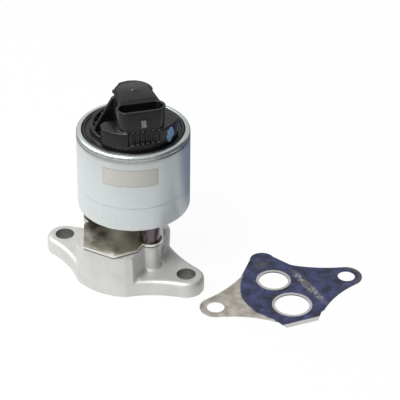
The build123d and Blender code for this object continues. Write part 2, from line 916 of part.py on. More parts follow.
with BuildPart() as sensor_lid:
    with BuildSketch(on_head(tower_top - lid_t)):
        offset(tower_plan.sketch, amount=-lid_rim - lid_gap)
    extrude(amount=lid_t)
    with BuildSketch(on_head(tower_top)):
        offset(tower_plan.sketch, amount=-lid_pad_inset)
        with Locations((0, lid_pad_back - lid_pad_r)):
            Circle(lid_pad_r, mode=Mode.INTERSECT)
    extrude(amount=lid_pad_h)
    with BuildSketch(on_head(tower_top + lid_pad_h)):
        Circle(lid_boss_r)
    extrude(amount=lid_boss_h)
    with BuildSketch(on_head(tower_top - lid_t / 2)):
        Circle(lid_hole_r)
    extrude(amount=lid_t, mode=Mode.SUBTRACT)
sensor_lid.part.label = "sensor_lid"
export_step(sensor_lid.part, "parts/sensor_lid.step")

with BuildPart() as connector_pins:
    with BuildSketch(on_head(terminal_high + pin_fit)):
        with Locations(*pin_places):
            Rectangle(pin_w, pin_t)
    extrude(amount=socket_floor + pin_stand - terminal_high - pin_fit)
    with BuildSketch(on_head(lead_low)):
        with Locations(*[(x, -shroud_out - pin_t / 2) for x, y in pin_places[1:-1]]):
            Rectangle(pin_w, shroud_out + board_front + pin_t / 2, align=(Align.CENTER, Align.MIN))
    extrude(amount=lead_h)
connector_pins.part.label = "connector_pins"
export_step(connector_pins.part, "parts/connector_pins.step")

# ================================================================ position sensor
with BuildPart() as resistor_board:
    with BuildSketch(on_head(tower_floor + press_gap)):
        with Locations((0, board_front + press_gap)):
            Rectangle(board_w, board_t, align=(Align.CENTER, Align.MIN))
    extrude(amount=board_h)
resistor_board.part.label = "resistor_board"
export_step(resistor_board.part, "parts/resistor_board.step")

carrier_low = tower_floor + carrier_rise
carrier_front = board_front + press_gap + board_t + contact_gap + contact_t

with BuildPart() as sensor_plunger:
    with BuildSketch(on_head(stem_top + plunger_seat_gap)):
        Circle(plunger_r)
    extrude(amount=carrier_low - stem_top - plunger_seat_gap)
sensor_plunger.part.label = "sensor_plunger"
export_step(sensor_plunger.part, "parts/sensor_plunger.step")

with BuildPart() as wiper_carrier:
    with BuildSketch(on_head(carrier_low)):
        with Locations((0, carrier_front)):
            Rectangle(carrier_w, carrier_d, align=(Align.CENTER, Align.MIN))
    extrude(amount=carrier_h)
    fillet(wiper_carrier.edges().filter_by(Axis.Z), carrier_corner_r)
wiper_carrier.part.label = "wiper_carrier"
export_step(wiper_carrier.part, "parts/wiper_carrier.step")

with BuildPart() as wiper_contacts:
    with BuildSketch(on_head(carrier_low + contact_w)):
        with Locations((0, carrier_front)):
            with GridLocations(carrier_w / 2, 0, 2, 1):
                Rectangle(contact_w, contact_t, align=(Align.CENTER, Align.MAX))
    extrude(amount=carrier_h - contact_w)
wiper_contacts.part.label = "wiper_contacts"
export_step(wiper_contacts.part, "parts/wiper_contacts.step")

with BuildPart() as sensor_spring:
    with BuildLine():
        fine_coil = coil_spring_path(
            carrier_low + carrier_h,
            tower_top - lid_t,
            sensor_wire_r,
            sensor_spring_r,
            sensor_turns,
        )
    with BuildSketch(Plane(origin=fine_coil @ 0, z_dir=fine_coil % 0)):
        RegularPolygon(sensor_wire_r, wire_sides)
    sweep()
sensor_spring.part.label = "sensor_spring"
export_step(sensor_spring.part, "parts/sensor_spring.step")

# ================================================================ foot gasket, lifted off
gasket_angle = math.radians(gasket_turn)
gasket_sheet = Plane(
    origin=(gasket_place[0], gasket_place[1], 0),
    x_dir=(math.cos(gasket_angle), math.sin(gasket_angle), 0),
)
gasket_ports = ((0, axis_y, inlet_r), (0, outlet_y, outlet_r))

with BuildPart() as flange_gasket:
    with BuildSketch(gasket_sheet):
        add(gasket_plan.sketch)
        Polygon(
            gasket_nose_left,
            gasket_nose,
            gasket_nose_root,
            (-gasket_nose_root[0], gasket_nose_root[1]),
            align=None,
        )
        with GridLocations(bolt_spacing, 0, 2, 1):
            Circle(bolt_hole_r - gasket_hole_gap, mode=Mode.SUBTRACT)
    extrude(amount=gasket_t)
    with BuildSketch(gasket_sheet):
        for x, y, port_r in gasket_ports:
            with Locations((x, y)):
                Circle(port_r + gasket_bead_w)
    extrude(amount=gasket_t + gasket_bead_h)
    with BuildSketch(gasket_sheet):
        for x, y, port_r in gasket_ports:
            with Locations((x, y)):
                Circle(port_r)
    extrude(amount=gasket_t + gasket_bead_h, mode=Mode.SUBTRACT)
flange_gasket.part.label = "flange_gasket"
export_step(flange_gasket.part, "parts/flange_gasket.step")
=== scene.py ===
# %% [markdown]
# # An exhaust gas recirculation valve
#
# The valve meters exhaust gas back into an engine. From the floor up it is a cast foot with two
# bolt ears, a stamped cover plate, three spacers that keep heat away, a drawn steel can with a
# solenoid inside, and a moulded head that holds the position sensor and the connector. Its foot
# gasket lies beside it. The engineering model comes in first, as a frame in metres: it fixes where
# every piece is, and the cells below dress it or make softer copies of its pieces.

# %% Load the frame
import math

import bmesh
import bpy
from mathutils import Matrix, Vector


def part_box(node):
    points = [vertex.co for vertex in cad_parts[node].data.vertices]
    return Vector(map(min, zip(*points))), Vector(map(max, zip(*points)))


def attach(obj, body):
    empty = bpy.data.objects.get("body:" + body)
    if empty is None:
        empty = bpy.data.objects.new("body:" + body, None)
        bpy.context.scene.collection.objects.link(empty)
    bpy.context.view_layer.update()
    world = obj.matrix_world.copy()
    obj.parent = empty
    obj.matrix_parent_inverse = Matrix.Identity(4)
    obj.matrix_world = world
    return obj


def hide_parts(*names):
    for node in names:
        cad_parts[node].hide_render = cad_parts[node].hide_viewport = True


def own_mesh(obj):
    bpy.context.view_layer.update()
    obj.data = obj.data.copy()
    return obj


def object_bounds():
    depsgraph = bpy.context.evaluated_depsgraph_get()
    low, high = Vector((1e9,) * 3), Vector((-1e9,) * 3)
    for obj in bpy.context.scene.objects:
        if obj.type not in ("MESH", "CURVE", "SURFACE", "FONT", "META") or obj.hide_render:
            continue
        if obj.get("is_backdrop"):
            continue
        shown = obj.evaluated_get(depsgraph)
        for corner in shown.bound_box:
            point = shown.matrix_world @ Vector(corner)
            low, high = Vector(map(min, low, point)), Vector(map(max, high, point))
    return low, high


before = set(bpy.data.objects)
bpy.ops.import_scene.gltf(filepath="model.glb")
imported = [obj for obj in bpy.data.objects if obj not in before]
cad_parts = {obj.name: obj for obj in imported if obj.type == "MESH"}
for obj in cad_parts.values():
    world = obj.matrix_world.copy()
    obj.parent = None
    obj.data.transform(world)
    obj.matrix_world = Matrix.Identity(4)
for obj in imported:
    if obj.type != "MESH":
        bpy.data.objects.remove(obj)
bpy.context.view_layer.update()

MM = 0.001
VALVE = "valve"

# %% [markdown]
# ## One function for nodes, one for colour
#
# Every finish is a small graph of nodes. One helper adds a node, fills its sockets and links them,
# so that a material reads as a list of what it is made of. Colours are hex values as on a paint
# chart, and one function turns them to the linear values that light is reckoned in. A last helper
# ends a finish: it presses a height into the surface as a bump and lays one shader over it.

# %% Helpers for materials


def linear(code):
    """A hex colour turned to linear red, green and blue, with full cover."""
    steps = [int(code[i : i + 2], 16) / 255 for i in (1, 3, 5)]
    return tuple(c / 12.92 if c <= 0.04045 else ((c + 0.055) / 1.055) ** 2.4 for c in steps) + (1.0,)


def add(tree, kind, inputs=None, **settings):
    """Adds a node to a tree and fills its inputs, which are socket names or numbers.

    A value is a plain one, a hex colour, a socket to link, or a node, which then stands for the
    first of its outputs that is in use.
    """
    node = tree.nodes.new(kind)
    for name, value in settings.items():
        setattr(node, name, value)
    for name, value in (inputs or {}).items():
        if isinstance(value, bpy.types.Node):
            value = next(output for output in value.outputs if output.enabled)
        if isinstance(value, bpy.types.NodeSocket):
            tree.links.new(value, node.inputs[name])
        else:
            node.inputs[name].default_value = linear(value) if isinstance(value, str) else value
    return node


def bare_tree(name):
    """A new material of that name, and its node tree with nothing in it."""
    material = bpy.data.materials.new(name)
    material.use_nodes = True
    material.node_tree.nodes.clear()
    return material, material.node_tree


def start(name):
    """A new material of that name, its node tree, and the place on the piece that it is drawn by."""
    material, tree = bare_tree(name)
    return material, tree, add(tree, "ShaderNodeTexCoord").outputs["Object"]


def per_mm(size):
    """The texture scale whose features are about that many millimetres across."""
    return 1 / (size * MM)


def close(tree, skin, height, strength, depth):
    """Ends a finish with one Principled shader of that skin, over a bump that is so deep."""
    bump = add(tree, "ShaderNodeBump", {"Height": height, "Strength": strength, "Distance": depth})
    shader = add(tree, "ShaderNodeBsdfPrincipled", {**skin, "Normal": bump})
    add(tree, "ShaderNodeOutputMaterial", {"Surface": shader})
    print("finish number", len(bpy.data.materials), "has", len(tree.nodes), "nodes")


# %% [markdown]
# ## The finish of the foot: shot-blasted aluminium
#
# The foot is poured in aluminium, knocked out of its mould and blasted with steel shot. The eye
# gets a light grey with no clear reflection, a fine grain, slow clouds of tone, and a few dark pits
# where gas was trapped. The grain is drawn at 0.6 mm, coarser than real shot leaves it, so that it
# still shows at arm's length. The walls of the bolt holes are painted dark, as painted shade inside
# the holes, by a mask on the distance from each bolt's axis.

# %% Shot-blasted aluminium
BOLT_X = 34.5 * MM
shot_blasted_aluminium, tree, place = start("shot_blasted_aluminium")
grain = add(tree, "ShaderNodeTexNoise", {"Vector": place, "Scale": per_mm(0.6), "Detail": 3.0})
cloud = add(tree, "ShaderNodeTexNoise", {"Vector": place, "Scale": per_mm(9), "Detail": 2.0})
pits = add(tree, "ShaderNodeTexVoronoi", {"Vector": place, "Scale": per_mm(4.5)})
fade = {"From Min": 0.035, "From Max": 0.06, "To Min": 1.0, "To Max": 0.0}
pit = add(tree, "ShaderNodeMapRange", {"Value": pits, **fade})
tone = add(tree, "ShaderNodeMix", {0: cloud, 6: "#c4c3c0", 7: "#e1e0dd"}, data_type="RGBA")
pitted = add(tree, "ShaderNodeMix", {0: pit, 6: tone, 7: "#76746f"}, data_type="RGBA")
# Painted shade: the dark tone that the walls of the bolt holes are painted with.
bore_shade_tone = add(tree, "ShaderNodeMix", {0: grain, 6: "#3f3e3c", 7: "#a9a7a2"}, data_type="RGBA")
# The ears are mirror images, so the size of X stands for either bolt.
mirrored = add(tree, "ShaderNodeVectorMath", {0: place}, operation="ABSOLUTE")
plan = add(tree, "ShaderNodeVectorMath", {0: mirrored, 1: (1.0, 1.0, 0.0)}, operation="MULTIPLY")
from_bolt = add(tree, "ShaderNodeVectorMath", {0: plan, 1: (BOLT_X, 0.0, 0.0)}, operation="DISTANCE")
# The mask of the painted shade in the bolt holes.
fade = {"From Min": 4.55 * MM, "From Max": 4.75 * MM, "To Min": 1.0, "To Max": 0.0}
bore_shade_mask = add(tree, "ShaderNodeMapRange", {"Value": from_bolt, **fade})
with_bore_shade = add(tree, "ShaderNodeMix", {0: bore_shade_mask, 6: pitted, 7: bore_shade_tone}, data_type="RGBA")
close(tree, {"Base Color": with_bore_shade, "Metallic": 0.6, "Roughness": 0.5}, grain, 0.35, 0.08 * MM)

# %% [markdown]
# ## The can's finish: silver paint over drawn steel
#
# Drawn cans are plated or sprayed a pale silver. The paint levels out, so it is smoother than the
# foot, with broad soft highlights. Drawing the cup upwards leaves very faint vertical streaks, made
# here by a noise squeezed to a twentieth of its height. Rollers turned the rim over the head. Below
# its crest the rolled rim is glossier and more metallic, and its colour is painted a mottled darker
# grey, a painted dark reflection; only its crest stays bright.

# %% Silver paint
RIM_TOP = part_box("solenoid_can")[1].z
RIM_LOW = RIM_TOP - 4.4 * MM
silver_paint, tree, place = start("silver_paint_on_drawn_steel")
tall = add(tree, "ShaderNodeMapping", {"Vector": place, "Scale": (1.0, 1.0, 0.05)})
streak = add(tree, "ShaderNodeTexNoise", {"Vector": tall, "Scale": per_mm(1.2), "Detail": 2.0})
cloud = add(tree, "ShaderNodeTexNoise", {"Vector": place, "Scale": per_mm(14), "Detail": 2.0})
blend = add(tree, "ShaderNodeMath", {0: streak, 1: cloud}, operation="MULTIPLY")
tone = add(tree, "ShaderNodeMix", {0: blend, 6: "#cdd4d4", 7: "#e0e5e4"}, data_type="RGBA")
height = add(tree, "ShaderNodeSeparateXYZ", {0: place}).outputs["Z"]
rim_mottle = add(tree, "ShaderNodeTexNoise", {"Vector": place, "Scale": per_mm(1.6), "Detail": 3.0})
uneven = add(tree, "ShaderNodeMath", {0: rim_mottle, 1: 1.6 * MM, 2: height}, operation="MULTIPLY_ADD")
rise = {"From Min": RIM_LOW + 0.4 * MM, "From Max": RIM_LOW + 2.2 * MM}
rolled = add(tree, "ShaderNodeMapRange", {"Value": uneven, **rise})
fade = {"From Min": RIM_TOP - 1.5 * MM, "From Max": RIM_TOP - 0.4 * MM, "To Min": 1.0, "To Max": 0.0}
below_crest = add(tree, "ShaderNodeMapRange", {"Value": height, **fade})
# Painted reflection: the band below the rim's crest is darkened to stand for the dim table that it mirrors.
painted_dark_band = add(tree, "ShaderNodeMath", {0: rolled, 1: below_crest}, operation="MULTIPLY")
dark_band_tone = add(tree, "ShaderNodeMix", {0: rim_mottle, 6: "#989d9c", 7: "#d4d8d7"}, data_type="RGBA")
tone = add(tree, "ShaderNodeMix", {0: painted_dark_band, 6: tone, 7: dark_band_tone}, data_type="RGBA")
gloss = add(tree, "ShaderNodeMapRange", {"Value": rolled, "To Min": 0.36, "To Max": 0.26})
metal = add(tree, "ShaderNodeMapRange", {"Value": rolled, "To Min": 0.48, "To Max": 0.75})
grit = add(tree, "ShaderNodeTexNoise", {"Vector": place, "Scale": per_mm(0.35), "Detail": 2.0})
close(tree, {"Base Color": tone, "Metallic": metal, "Roughness": gloss}, grit, 0.12, 0.03 * MM)

# %% [markdown]
# ## The head's finish: glass-filled nylon
#
# The head is moulded in black nylon with chopped glass in it. The fibres leave a very fine, dull
# grain and a greyish bloom, and the skin is a little glossier where the mould was polished.

# %% Glass-filled nylon
black_nylon, tree, place = start("black_glass_filled_nylon")
fibre = add(tree, "ShaderNodeTexNoise", {"Vector": place, "Scale": per_mm(0.5), "Detail": 4.0})
bloom = add(tree, "ShaderNodeTexNoise", {"Vector": place, "Scale": per_mm(6), "Detail": 2.0})
tone = add(tree, "ShaderNodeMix", {0: bloom, 6: "#0d0d0c", 7: "#191917"}, data_type="RGBA")
dull = add(tree, "ShaderNodeMapRange", {"Value": fibre, "To Min": 0.12, "To Max": 0.36})
close(tree, {"Base Color": tone, "Roughness": dull, "IOR": 1.53}, fibre, 0.4, 0.07 * MM)

# %% [markdown]
# ## Steels that have been hot
#
# The cover plate sits on the exhaust gas, so its steel has a mottled olive film of oxide, still
# smooth enough to mirror what stands above it. Two pale patches on it are painted reflections, a
# brown one under the can is a painted dark reflection, and its sheared edge is painted near white,
# bare steel and a painted highlight. The spacers run from brown-grey at the foot to violet-grey, as
# a tempered bar does: the colour is the oxide's thickness, which follows the temperature, so it is
# drawn along the height. Their side that looks to the front left is painted dark, a painted dark
# reflection.

# %% Oxidised steel for the plate
PLATE_TOP = 23.1 * MM
oxidised_plate_steel, tree, place = start("oxidised_plate_steel")
coarse = {"Scale": per_mm(7), "Detail": 4.0, "Roughness": 0.65}
patch = add(tree, "ShaderNodeTexNoise", {"Vector": place, **coarse})
speck = add(tree, "ShaderNodeTexNoise", {"Vector": place, "Scale": per_mm(0.8), "Detail": 3.0})
mottle = add(tree, "ShaderNodeMapRange", {"Value": patch, "From Min": 0.35, "From Max": 0.65})
film = add(tree, "ShaderNodeMix", {0: mottle, 6: "#938f80", 7: "#cbc8bc"}, data_type="RGBA")


def painted_patch(film, x, y, reach, code, share):
    """The plate's film with a soft round patch of another colour laid over it; the patches are painted
    light and painted shade.
    """
    middle = (x * MM, y * MM, PLATE_TOP)
    off = add(tree, "ShaderNodeVectorMath", {0: place, 1: middle}, operation="DISTANCE")
    rise = {"From Min": reach, "From Max": reach * 0.3, "To Max": share}
    cover = add(tree, "ShaderNodeMapRange", {"Value": off, **rise})
    return add(tree, "ShaderNodeMix", {0: cover, 6: film, 7: code}, data_type="RGBA")


# Painted light and shade: the two pale patches are painted reflections, the brown one under the can a
# painted dark reflection of its underside.
film = painted_patch(film, 7.5, -6.0, 12 * MM, "#f8f0da", 1.0)
film = painted_patch(film, -14.0, -6.5, 6 * MM, "#6d5f5c", 0.7)
film = painted_patch(film, -9.0, -6.5, 3.2 * MM, "#f4ecd6", 1.0)
film_speck = add(tree, "ShaderNodeMath", {0: speck, 1: 0.3}, operation="MULTIPLY")
film = add(tree, "ShaderNodeMix", {0: film_speck, 6: film, 7: "#2f2a24"}, data_type="RGBA")
# The sheared edge, where a face looks sideways, is painted near white: bare steel, and a painted highlight
# along the edge.
looks = add(tree, "ShaderNodeNewGeometry").outputs["Normal"]
upward = add(tree, "ShaderNodeSeparateXYZ", {0: looks}).outputs["Z"]
level = add(tree, "ShaderNodeMath", {0: upward}, operation="ABSOLUTE")
edge = add(tree, "ShaderNodeMapRange", {"Value": level, "From Min": 0.9, "From Max": 0.6})
edge_painted_bright = add(tree, "ShaderNodeMix", {0: edge, 6: film, 7: "#f0eee8"}, data_type="RGBA")
matt = add(tree, "ShaderNodeMapRange", {"Value": patch, "To Min": 0.26, "To Max": 0.5})
close(tree, {"Base Color": edge_painted_bright, "Metallic": 1.0, "Roughness": matt}, speck, 0.2, 0.03 * MM)

# %% Heat-tinted steel for the spacers
DARK_REFLECTION_SIDE = (-0.87, -0.48, 0.0)
TINTS = [(0.3, "#625a56"), (0.55, "#6b6166"), (0.8, "#6a5f67")]
spacer_low, spacer_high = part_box("spacer_right")
heat_tinted_steel, tree, place = start("heat_tinted_steel")
height = add(tree, "ShaderNodeSeparateXYZ", {0: place}).outputs["Z"]
sway = add(tree, "ShaderNodeTexNoise", {"Vector": place, "Scale": per_mm(5), "Detail": 2.0})
rise = {"From Min": spacer_low.z, "From Max": spacer_high.z}
lift = add(tree, "ShaderNodeMapRange", {"Value": height, **rise})
lift = add(tree, "ShaderNodeMath", {0: sway, 1: 0.5, 2: lift}, operation="MULTIPLY_ADD")
tint = add(tree, "ShaderNodeValToRGB", {0: lift})
stops = tint.color_ramp.elements
stops.new(0.5)
for stop, (position, code) in zip(stops, TINTS):
    stop.position, stop.color = position, linear(code)
# Painted reflection: the side that looks to the front left is darkened to stand for the dark plate and the
# shade under the can that it mirrors.
looks = add(tree, "ShaderNodeNewGeometry").outputs["Normal"]
facing = add(tree, "ShaderNodeVectorMath", {0: looks, 1: DARK_REFLECTION_SIDE}, operation="DOT_PRODUCT")
rise = {"From Min": 0.1, "From Max": 0.45, "To Max": 0.85}
dark_side_mask = add(tree, "ShaderNodeMapRange", {"Value": facing, **rise})
dark_side_tone = add(tree, "ShaderNodeMix", {0: dark_side_mask, 6: tint, 7: "#2a2622"}, data_type="RGBA")
flat = add(tree, "ShaderNodeMapping", {"Vector": place, "Scale": (0.05, 0.05, 1.0)})
rings = add(tree, "ShaderNodeTexNoise", {"Vector": flat, "Scale": per_mm(0.4), "Detail": 1.0})
close(tree, {"Base Color": dark_side_tone, "Metallic": 1.0, "Roughness": 0.24}, rings, 0.15, 0.03 * MM)

# %% [markdown]
# ## Turned and drawn metals
#
# Stem, seat, screws, poles, sleeve, springs and pins are bare metal. They differ in colour, in how
# bright they are and in how coarse the tool left them. So one function makes them all, with fine
# rings across the height as a lathe leaves them.

# %% Bare metals


def turned_metal(name, light, dark, roughness, groove_mm):
    """A bare metal between two tones, with turning marks about that far apart."""
    material, tree, place = start(name)
    flat = add(tree, "ShaderNodeMapping", {"Vector": place, "Scale": (0.05, 0.05, 1.0)})
    rings = add(tree, "ShaderNodeTexNoise", {"Vector": flat, "Scale": per_mm(groove_mm), "Detail": 2.0})
    stain = add(tree, "ShaderNodeTexNoise", {"Vector": place, "Scale": per_mm(5), "Detail": 3.0})
    tone = add(tree, "ShaderNodeMix", {0: stain, 6: dark, 7: light}, data_type="RGBA")
    spread = {"To Min": roughness - 0.06, "To Max": roughness + 0.06}
    gloss = add(tree, "ShaderNodeMapRange", {"Value": stain, **spread})
    close(tree, {"Base Color": tone, "Metallic": 1.0, "Roughness": gloss}, rings, 0.2, 0.03 * MM)
    return material


stainless_steel = turned_metal("turned_stainless_steel", "#b8b3aa", "#8f8a80", 0.28, 0.3)
zinc_plated_steel = turned_metal("zinc_plated_steel", "#b9bcbe", "#969a9e", 0.36, 0.5)
soft_iron = turned_metal("machined_soft_iron", "#a5a4a2", "#82817e", 0.32, 0.4)
spring_steel = turned_metal("drawn_spring_steel", "#9d9c99", "#75746f", 0.3, 0.5)
drawn_brass = turned_metal("drawn_brass", "#d9b86a", "#b08f48", 0.26, 0.5)
tinned_brass = turned_metal("tinned_brass", "#d4d2cc", "#b4b1a9", 0.3, 0.3)
enamelled_copper = turned_metal("enamelled_copper_wire", "#a4502c", "#7c361b", 0.3, 0.45)

# %% [markdown]
# ## The dull pieces
#
# Bearing carbon, graphite sheet, seal, bobbin and the sensor's board are soft or moulded and reflect
# little, and so do sticker film, dabbed paint and the grey nylon of the latch's painted highlight.
# They share a plain finish: two close tones, a grain and a roughness.

# %% Dull finishes


def dull_finish(name, light, dark, roughness, grain_mm):
    """A matt surface between two close tones, with a grain of about that size."""
    material, tree, place = start(name)
    grain = add(tree, "ShaderNodeTexNoise", {"Vector": place, "Scale": per_mm(grain_mm), "Detail": 3.0})
    tone = add(tree, "ShaderNodeMix", {0: grain, 6: dark, 7: light}, data_type="RGBA")
    close(tree, {"Base Color": tone, "Roughness": roughness, "IOR": 1.5}, grain, 0.3, 0.04 * MM)
    return material


bearing_carbon = dull_finish("sintered_carbon", "#3a3938", "#232322", 0.5, 0.4)
graphite_sheet = dull_finish("pressed_graphite_sheet", "#3b3a39", "#262524", 0.6, 0.8)
seal_rubber = dull_finish("fluorocarbon_rubber", "#232324", "#161617", 0.55, 0.6)
bobbin_nylon = dull_finish("natural_grey_nylon", "#5a5a57", "#474744", 0.45, 0.7)
resistor_laminate = dull_finish("green_circuit_laminate", "#2d6a45", "#1f4f33", 0.4, 0.5)
sticker_film = dull_finish("pale_polyester_film", "#c2c1bb", "#b2b1ab", 0.38, 0.9)
sticker_edge = dull_finish("aged_film_edge", "#9f9c95", "#8a8780", 0.5, 0.9)
# Painted highlight: the grey laid on the latch's ramp.
highlight_grey_nylon = dull_finish("highlight_grey_nylon", "#8c8c87", "#4e4e4a", 0.45, 0.8)
inspection_paint = dull_finish("blue_inspection_paint", "#8db4dc", "#6f9ccb", 0.42, 1.2)

# %% [markdown]
# ## The gasket's finish: blue coating on bare steel
#
# The foot gasket is thin spring steel dipped in a blue sealing coat. The coat stops short of one
# ear along a round front and leaves a clean strip along the nose. It is dull and dark at the tip of
# the other ear and on the rear lobe, and it has rubbed off along the bead, in flecks, and in a long
# streak where the sheet was handled. All of it is drawn in the gasket's own frame: a Mapping node
# carries the surface back to where the gasket would lie under the foot.

# %% Coated gasket steel
GASKET_PLACE, GASKET_TURN = (76.25 * MM, 19.67 * MM, 0.0), math.radians(51.5)
coated_gasket_steel, tree, place = start("coated_gasket_steel")
sheet = add(
    tree,
    "ShaderNodeMapping",
    {"Vector": place, "Location": GASKET_PLACE, "Rotation": (0.0, 0.0, GASKET_TURN)},
    vector_type="TEXTURE",
)
across = add(tree, "ShaderNodeSeparateXYZ", {0: sheet}).outputs
flat = add(tree, "ShaderNodeCombineXYZ", {"X": across["X"], "Y": across["Y"]})
stain = add(tree, "ShaderNodeTexNoise", {"Vector": sheet, "Scale": per_mm(6), "Detail": 4.0})
fleck = add(tree, "ShaderNodeTexNoise", {"Vector": sheet, "Scale": per_mm(0.9), "Detail": 3.0})

# %% Where the coat ends
WAVER = 1.6 * MM


def beyond_arc(centre, radius, blur, limit_of, limit):
    """1 outside a wavering circle of the sheet, on the side where a coordinate is under a limit."""
    reach = add(tree, "ShaderNodeVectorMath", {0: flat, 1: (*centre, 0.0)}, operation="DISTANCE")
    uneven = add(tree, "ShaderNodeMath", {0: stain, 1: WAVER, 2: reach}, operation="MULTIPLY_ADD")
    rise = {"From Min": radius + WAVER / 2 - blur, "From Max": radius + WAVER / 2 + blur}
    front = add(tree, "ShaderNodeMapRange", {"Value": uneven, **rise})
    fade = {"From Min": limit - blur, "From Max": limit + blur, "To Min": 1.0, "To Max": 0.0}
    side = add(tree, "ShaderNodeMapRange", {"Value": across[limit_of], **fade})
    return add(tree, "ShaderNodeMath", {0: front, 1: side}, operation="MULTIPLY")


bare_ear = beyond_arc((7.44 * MM, -0.87 * MM), 27.4 * MM, 0.35 * MM, "X", -12.5 * MM)
bare_nose = beyond_arc((0.0, 0.0), 20 * MM, 0.25 * MM, "Y", -24.6 * MM)
bare = add(tree, "ShaderNodeMath", {0: bare_ear, 1: bare_nose}, operation="MAXIMUM")
from_ear = add(tree, "ShaderNodeVectorMath", {0: flat, 1: (BOLT_X, 0.0, 0.0)}, operation="DISTANCE")
rise = {"From Min": 5.6 * MM, "From Max": 6.4 * MM}
past_hole = add(tree, "ShaderNodeMapRange", {"Value": from_ear, **rise})
rise = {"From Min": BOLT_X - 0.5 * MM, "From Max": BOLT_X + 1.5 * MM}
beyond = add(tree, "ShaderNodeMapRange", {"Value": across["X"], **rise})
dark_tip = add(tree, "ShaderNodeMath", {0: past_hole, 1: beyond}, operation="MULTIPLY")
print("bare", bare.name, "dark tip", dark_tip.name)

# %% Where the coat has rubbed off
STREAK_MIDDLE, STREAK_TURN = (13.6 * MM, -1.0 * MM, 0.0), math.radians(-83)
STREAK_HALF_LENGTH, STREAK_HALF_WIDTH = 17 * MM, 2.3 * MM
rise = {"From Min": 0.6, "From Max": 0.76, "To Max": 0.5}
rubbed = add(tree, "ShaderNodeMapRange", {"Value": fleck, **rise})
rubbed = add(tree, "ShaderNodeMath", {0: rubbed, 1: stain}, operation="MULTIPLY")
# The streak runs from between the ports towards the coated ear.
off = add(tree, "ShaderNodeVectorMath", {0: flat, 1: STREAK_MIDDLE}, operation="SUBTRACT")
off = add(tree, "ShaderNodeVectorRotate", {"Vector": off, "Angle": -STREAK_TURN}, rotation_type="Z_AXIS")
shrunk = (1 / STREAK_HALF_LENGTH, 1 / STREAK_HALF_WIDTH, 0.0)
off = add(tree, "ShaderNodeVectorMath", {0: off, 1: shrunk}, operation="MULTIPLY")
far = add(tree, "ShaderNodeVectorMath", {0: off}, operation="LENGTH")
fade = {"From Min": 0.5, "From Max": 1.1, "To Min": 0.9, "To Max": 0.0}
streak = add(tree, "ShaderNodeMapRange", {"Value": far, **fade})
scuffs = add(tree, "ShaderNodeMapRange", {"Value": fleck, "From Min": 0.4, "From Max": 0.66})
streak = add(tree, "ShaderNodeMath", {0: streak, 1: scuffs}, operation="MULTIPLY")
rise = {"From Min": 0.45 * MM, "From Max": 0.62 * MM, "To Max": 0.85}
raised = add(tree, "ShaderNodeMapRange", {"Value": across["Z"], **rise})
uncoated = bare
for worn in (rubbed, raised, streak):
    uncoated = add(tree, "ShaderNodeMath", {0: uncoated, 1: worn}, operation="MAXIMUM")
print("uncoated where", uncoated.name, "is 1")

# %% The coat's and the steel's own tones
patchy = add(tree, "ShaderNodeMapRange", {"Value": stain, "From Min": 0.36, "From Max": 0.64})
coat = add(tree, "ShaderNodeMix", {0: patchy, 6: "#14172f", 7: "#3a426e"}, data_type="RGBA")
from_lobe = add(tree, "ShaderNodeVectorMath", {0: flat, 1: (0.0, 24 * MM, 0.0)}, operation="DISTANCE")
fade = {"From Min": 1.5 * MM, "From Max": 4.5 * MM, "To Min": 0.6, "To Max": 0.0}
lobe_stain = add(tree, "ShaderNodeMapRange", {"Value": from_lobe, **fade})
coat = add(tree, "ShaderNodeMix", {0: lobe_stain, 6: coat, 7: "#55545a"}, data_type="RGBA")
coat = add(tree, "ShaderNodeMix", {0: dark_tip, 6: coat, 7: "#4a4b50"}, data_type="RGBA")
steel = add(tree, "ShaderNodeMix", {0: patchy, 6: "#aca599", 7: "#dfdacf"}, data_type="RGBA")
clean = add(tree, "ShaderNodeMath", {0: bare_nose, 1: raised}, operation="MAXIMUM")
steel = add(tree, "ShaderNodeMix", {0: clean, 6: steel, 7: "#e6e5e2"}, data_type="RGBA")
tone = add(tree, "ShaderNodeMix", {0: uncoated, 6: coat, 7: steel}, data_type="RGBA")
metal = add(tree, "ShaderNodeMapRange", {"Value": uncoated, "To Min": 0.0, "To Max": 0.85})
close(tree, {"Base Color": tone, "Metallic": metal, "Roughness": 0.4}, fleck, 0.2, 0.03 * MM)

# %% [markdown]
# ## Working on the engineering meshes
#
# A frame node must not be touched, so every softer piece starts as a welded copy of one, is worked
# on by modifiers, turned into a plain mesh, and then stands for its node. Another helper turns a
# profile about an upright axis, which makes plugs and drills as a lathe would.

# %% Helpers for meshes
AXIS_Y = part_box("solenoid_can")[0].y / 2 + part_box("solenoid_can")[1].y / 2


def new_piece(name, data):
    """A mesh, a lamp or a camera as a new object at the origin of the scene."""
    piece = bpy.data.objects.new(name, data)
    bpy.context.scene.collection.objects.link(piece)
    return piece


def mesh_from(name, work):
    """A mesh written from a bmesh, which goes."""
    mesh = bpy.data.meshes.new(name)
    work.to_mesh(mesh)
    work.free()
    return mesh


def welded_copy(node, name):
    """A frame node's mesh with its loose triangles joined, as a new piece."""
    work = bmesh.new()
    work.from_mesh(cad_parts[node].data)
    bmesh.ops.remove_doubles(work, verts=work.verts, dist=0.002 * MM)
    mesh = mesh_from(name, work)
    for extra in [a.name for a in mesh.attributes if a.name in ("custom_normal", "UVMap")]:
        mesh.attributes.remove(mesh.attributes[extra])
    return new_piece(name, mesh)


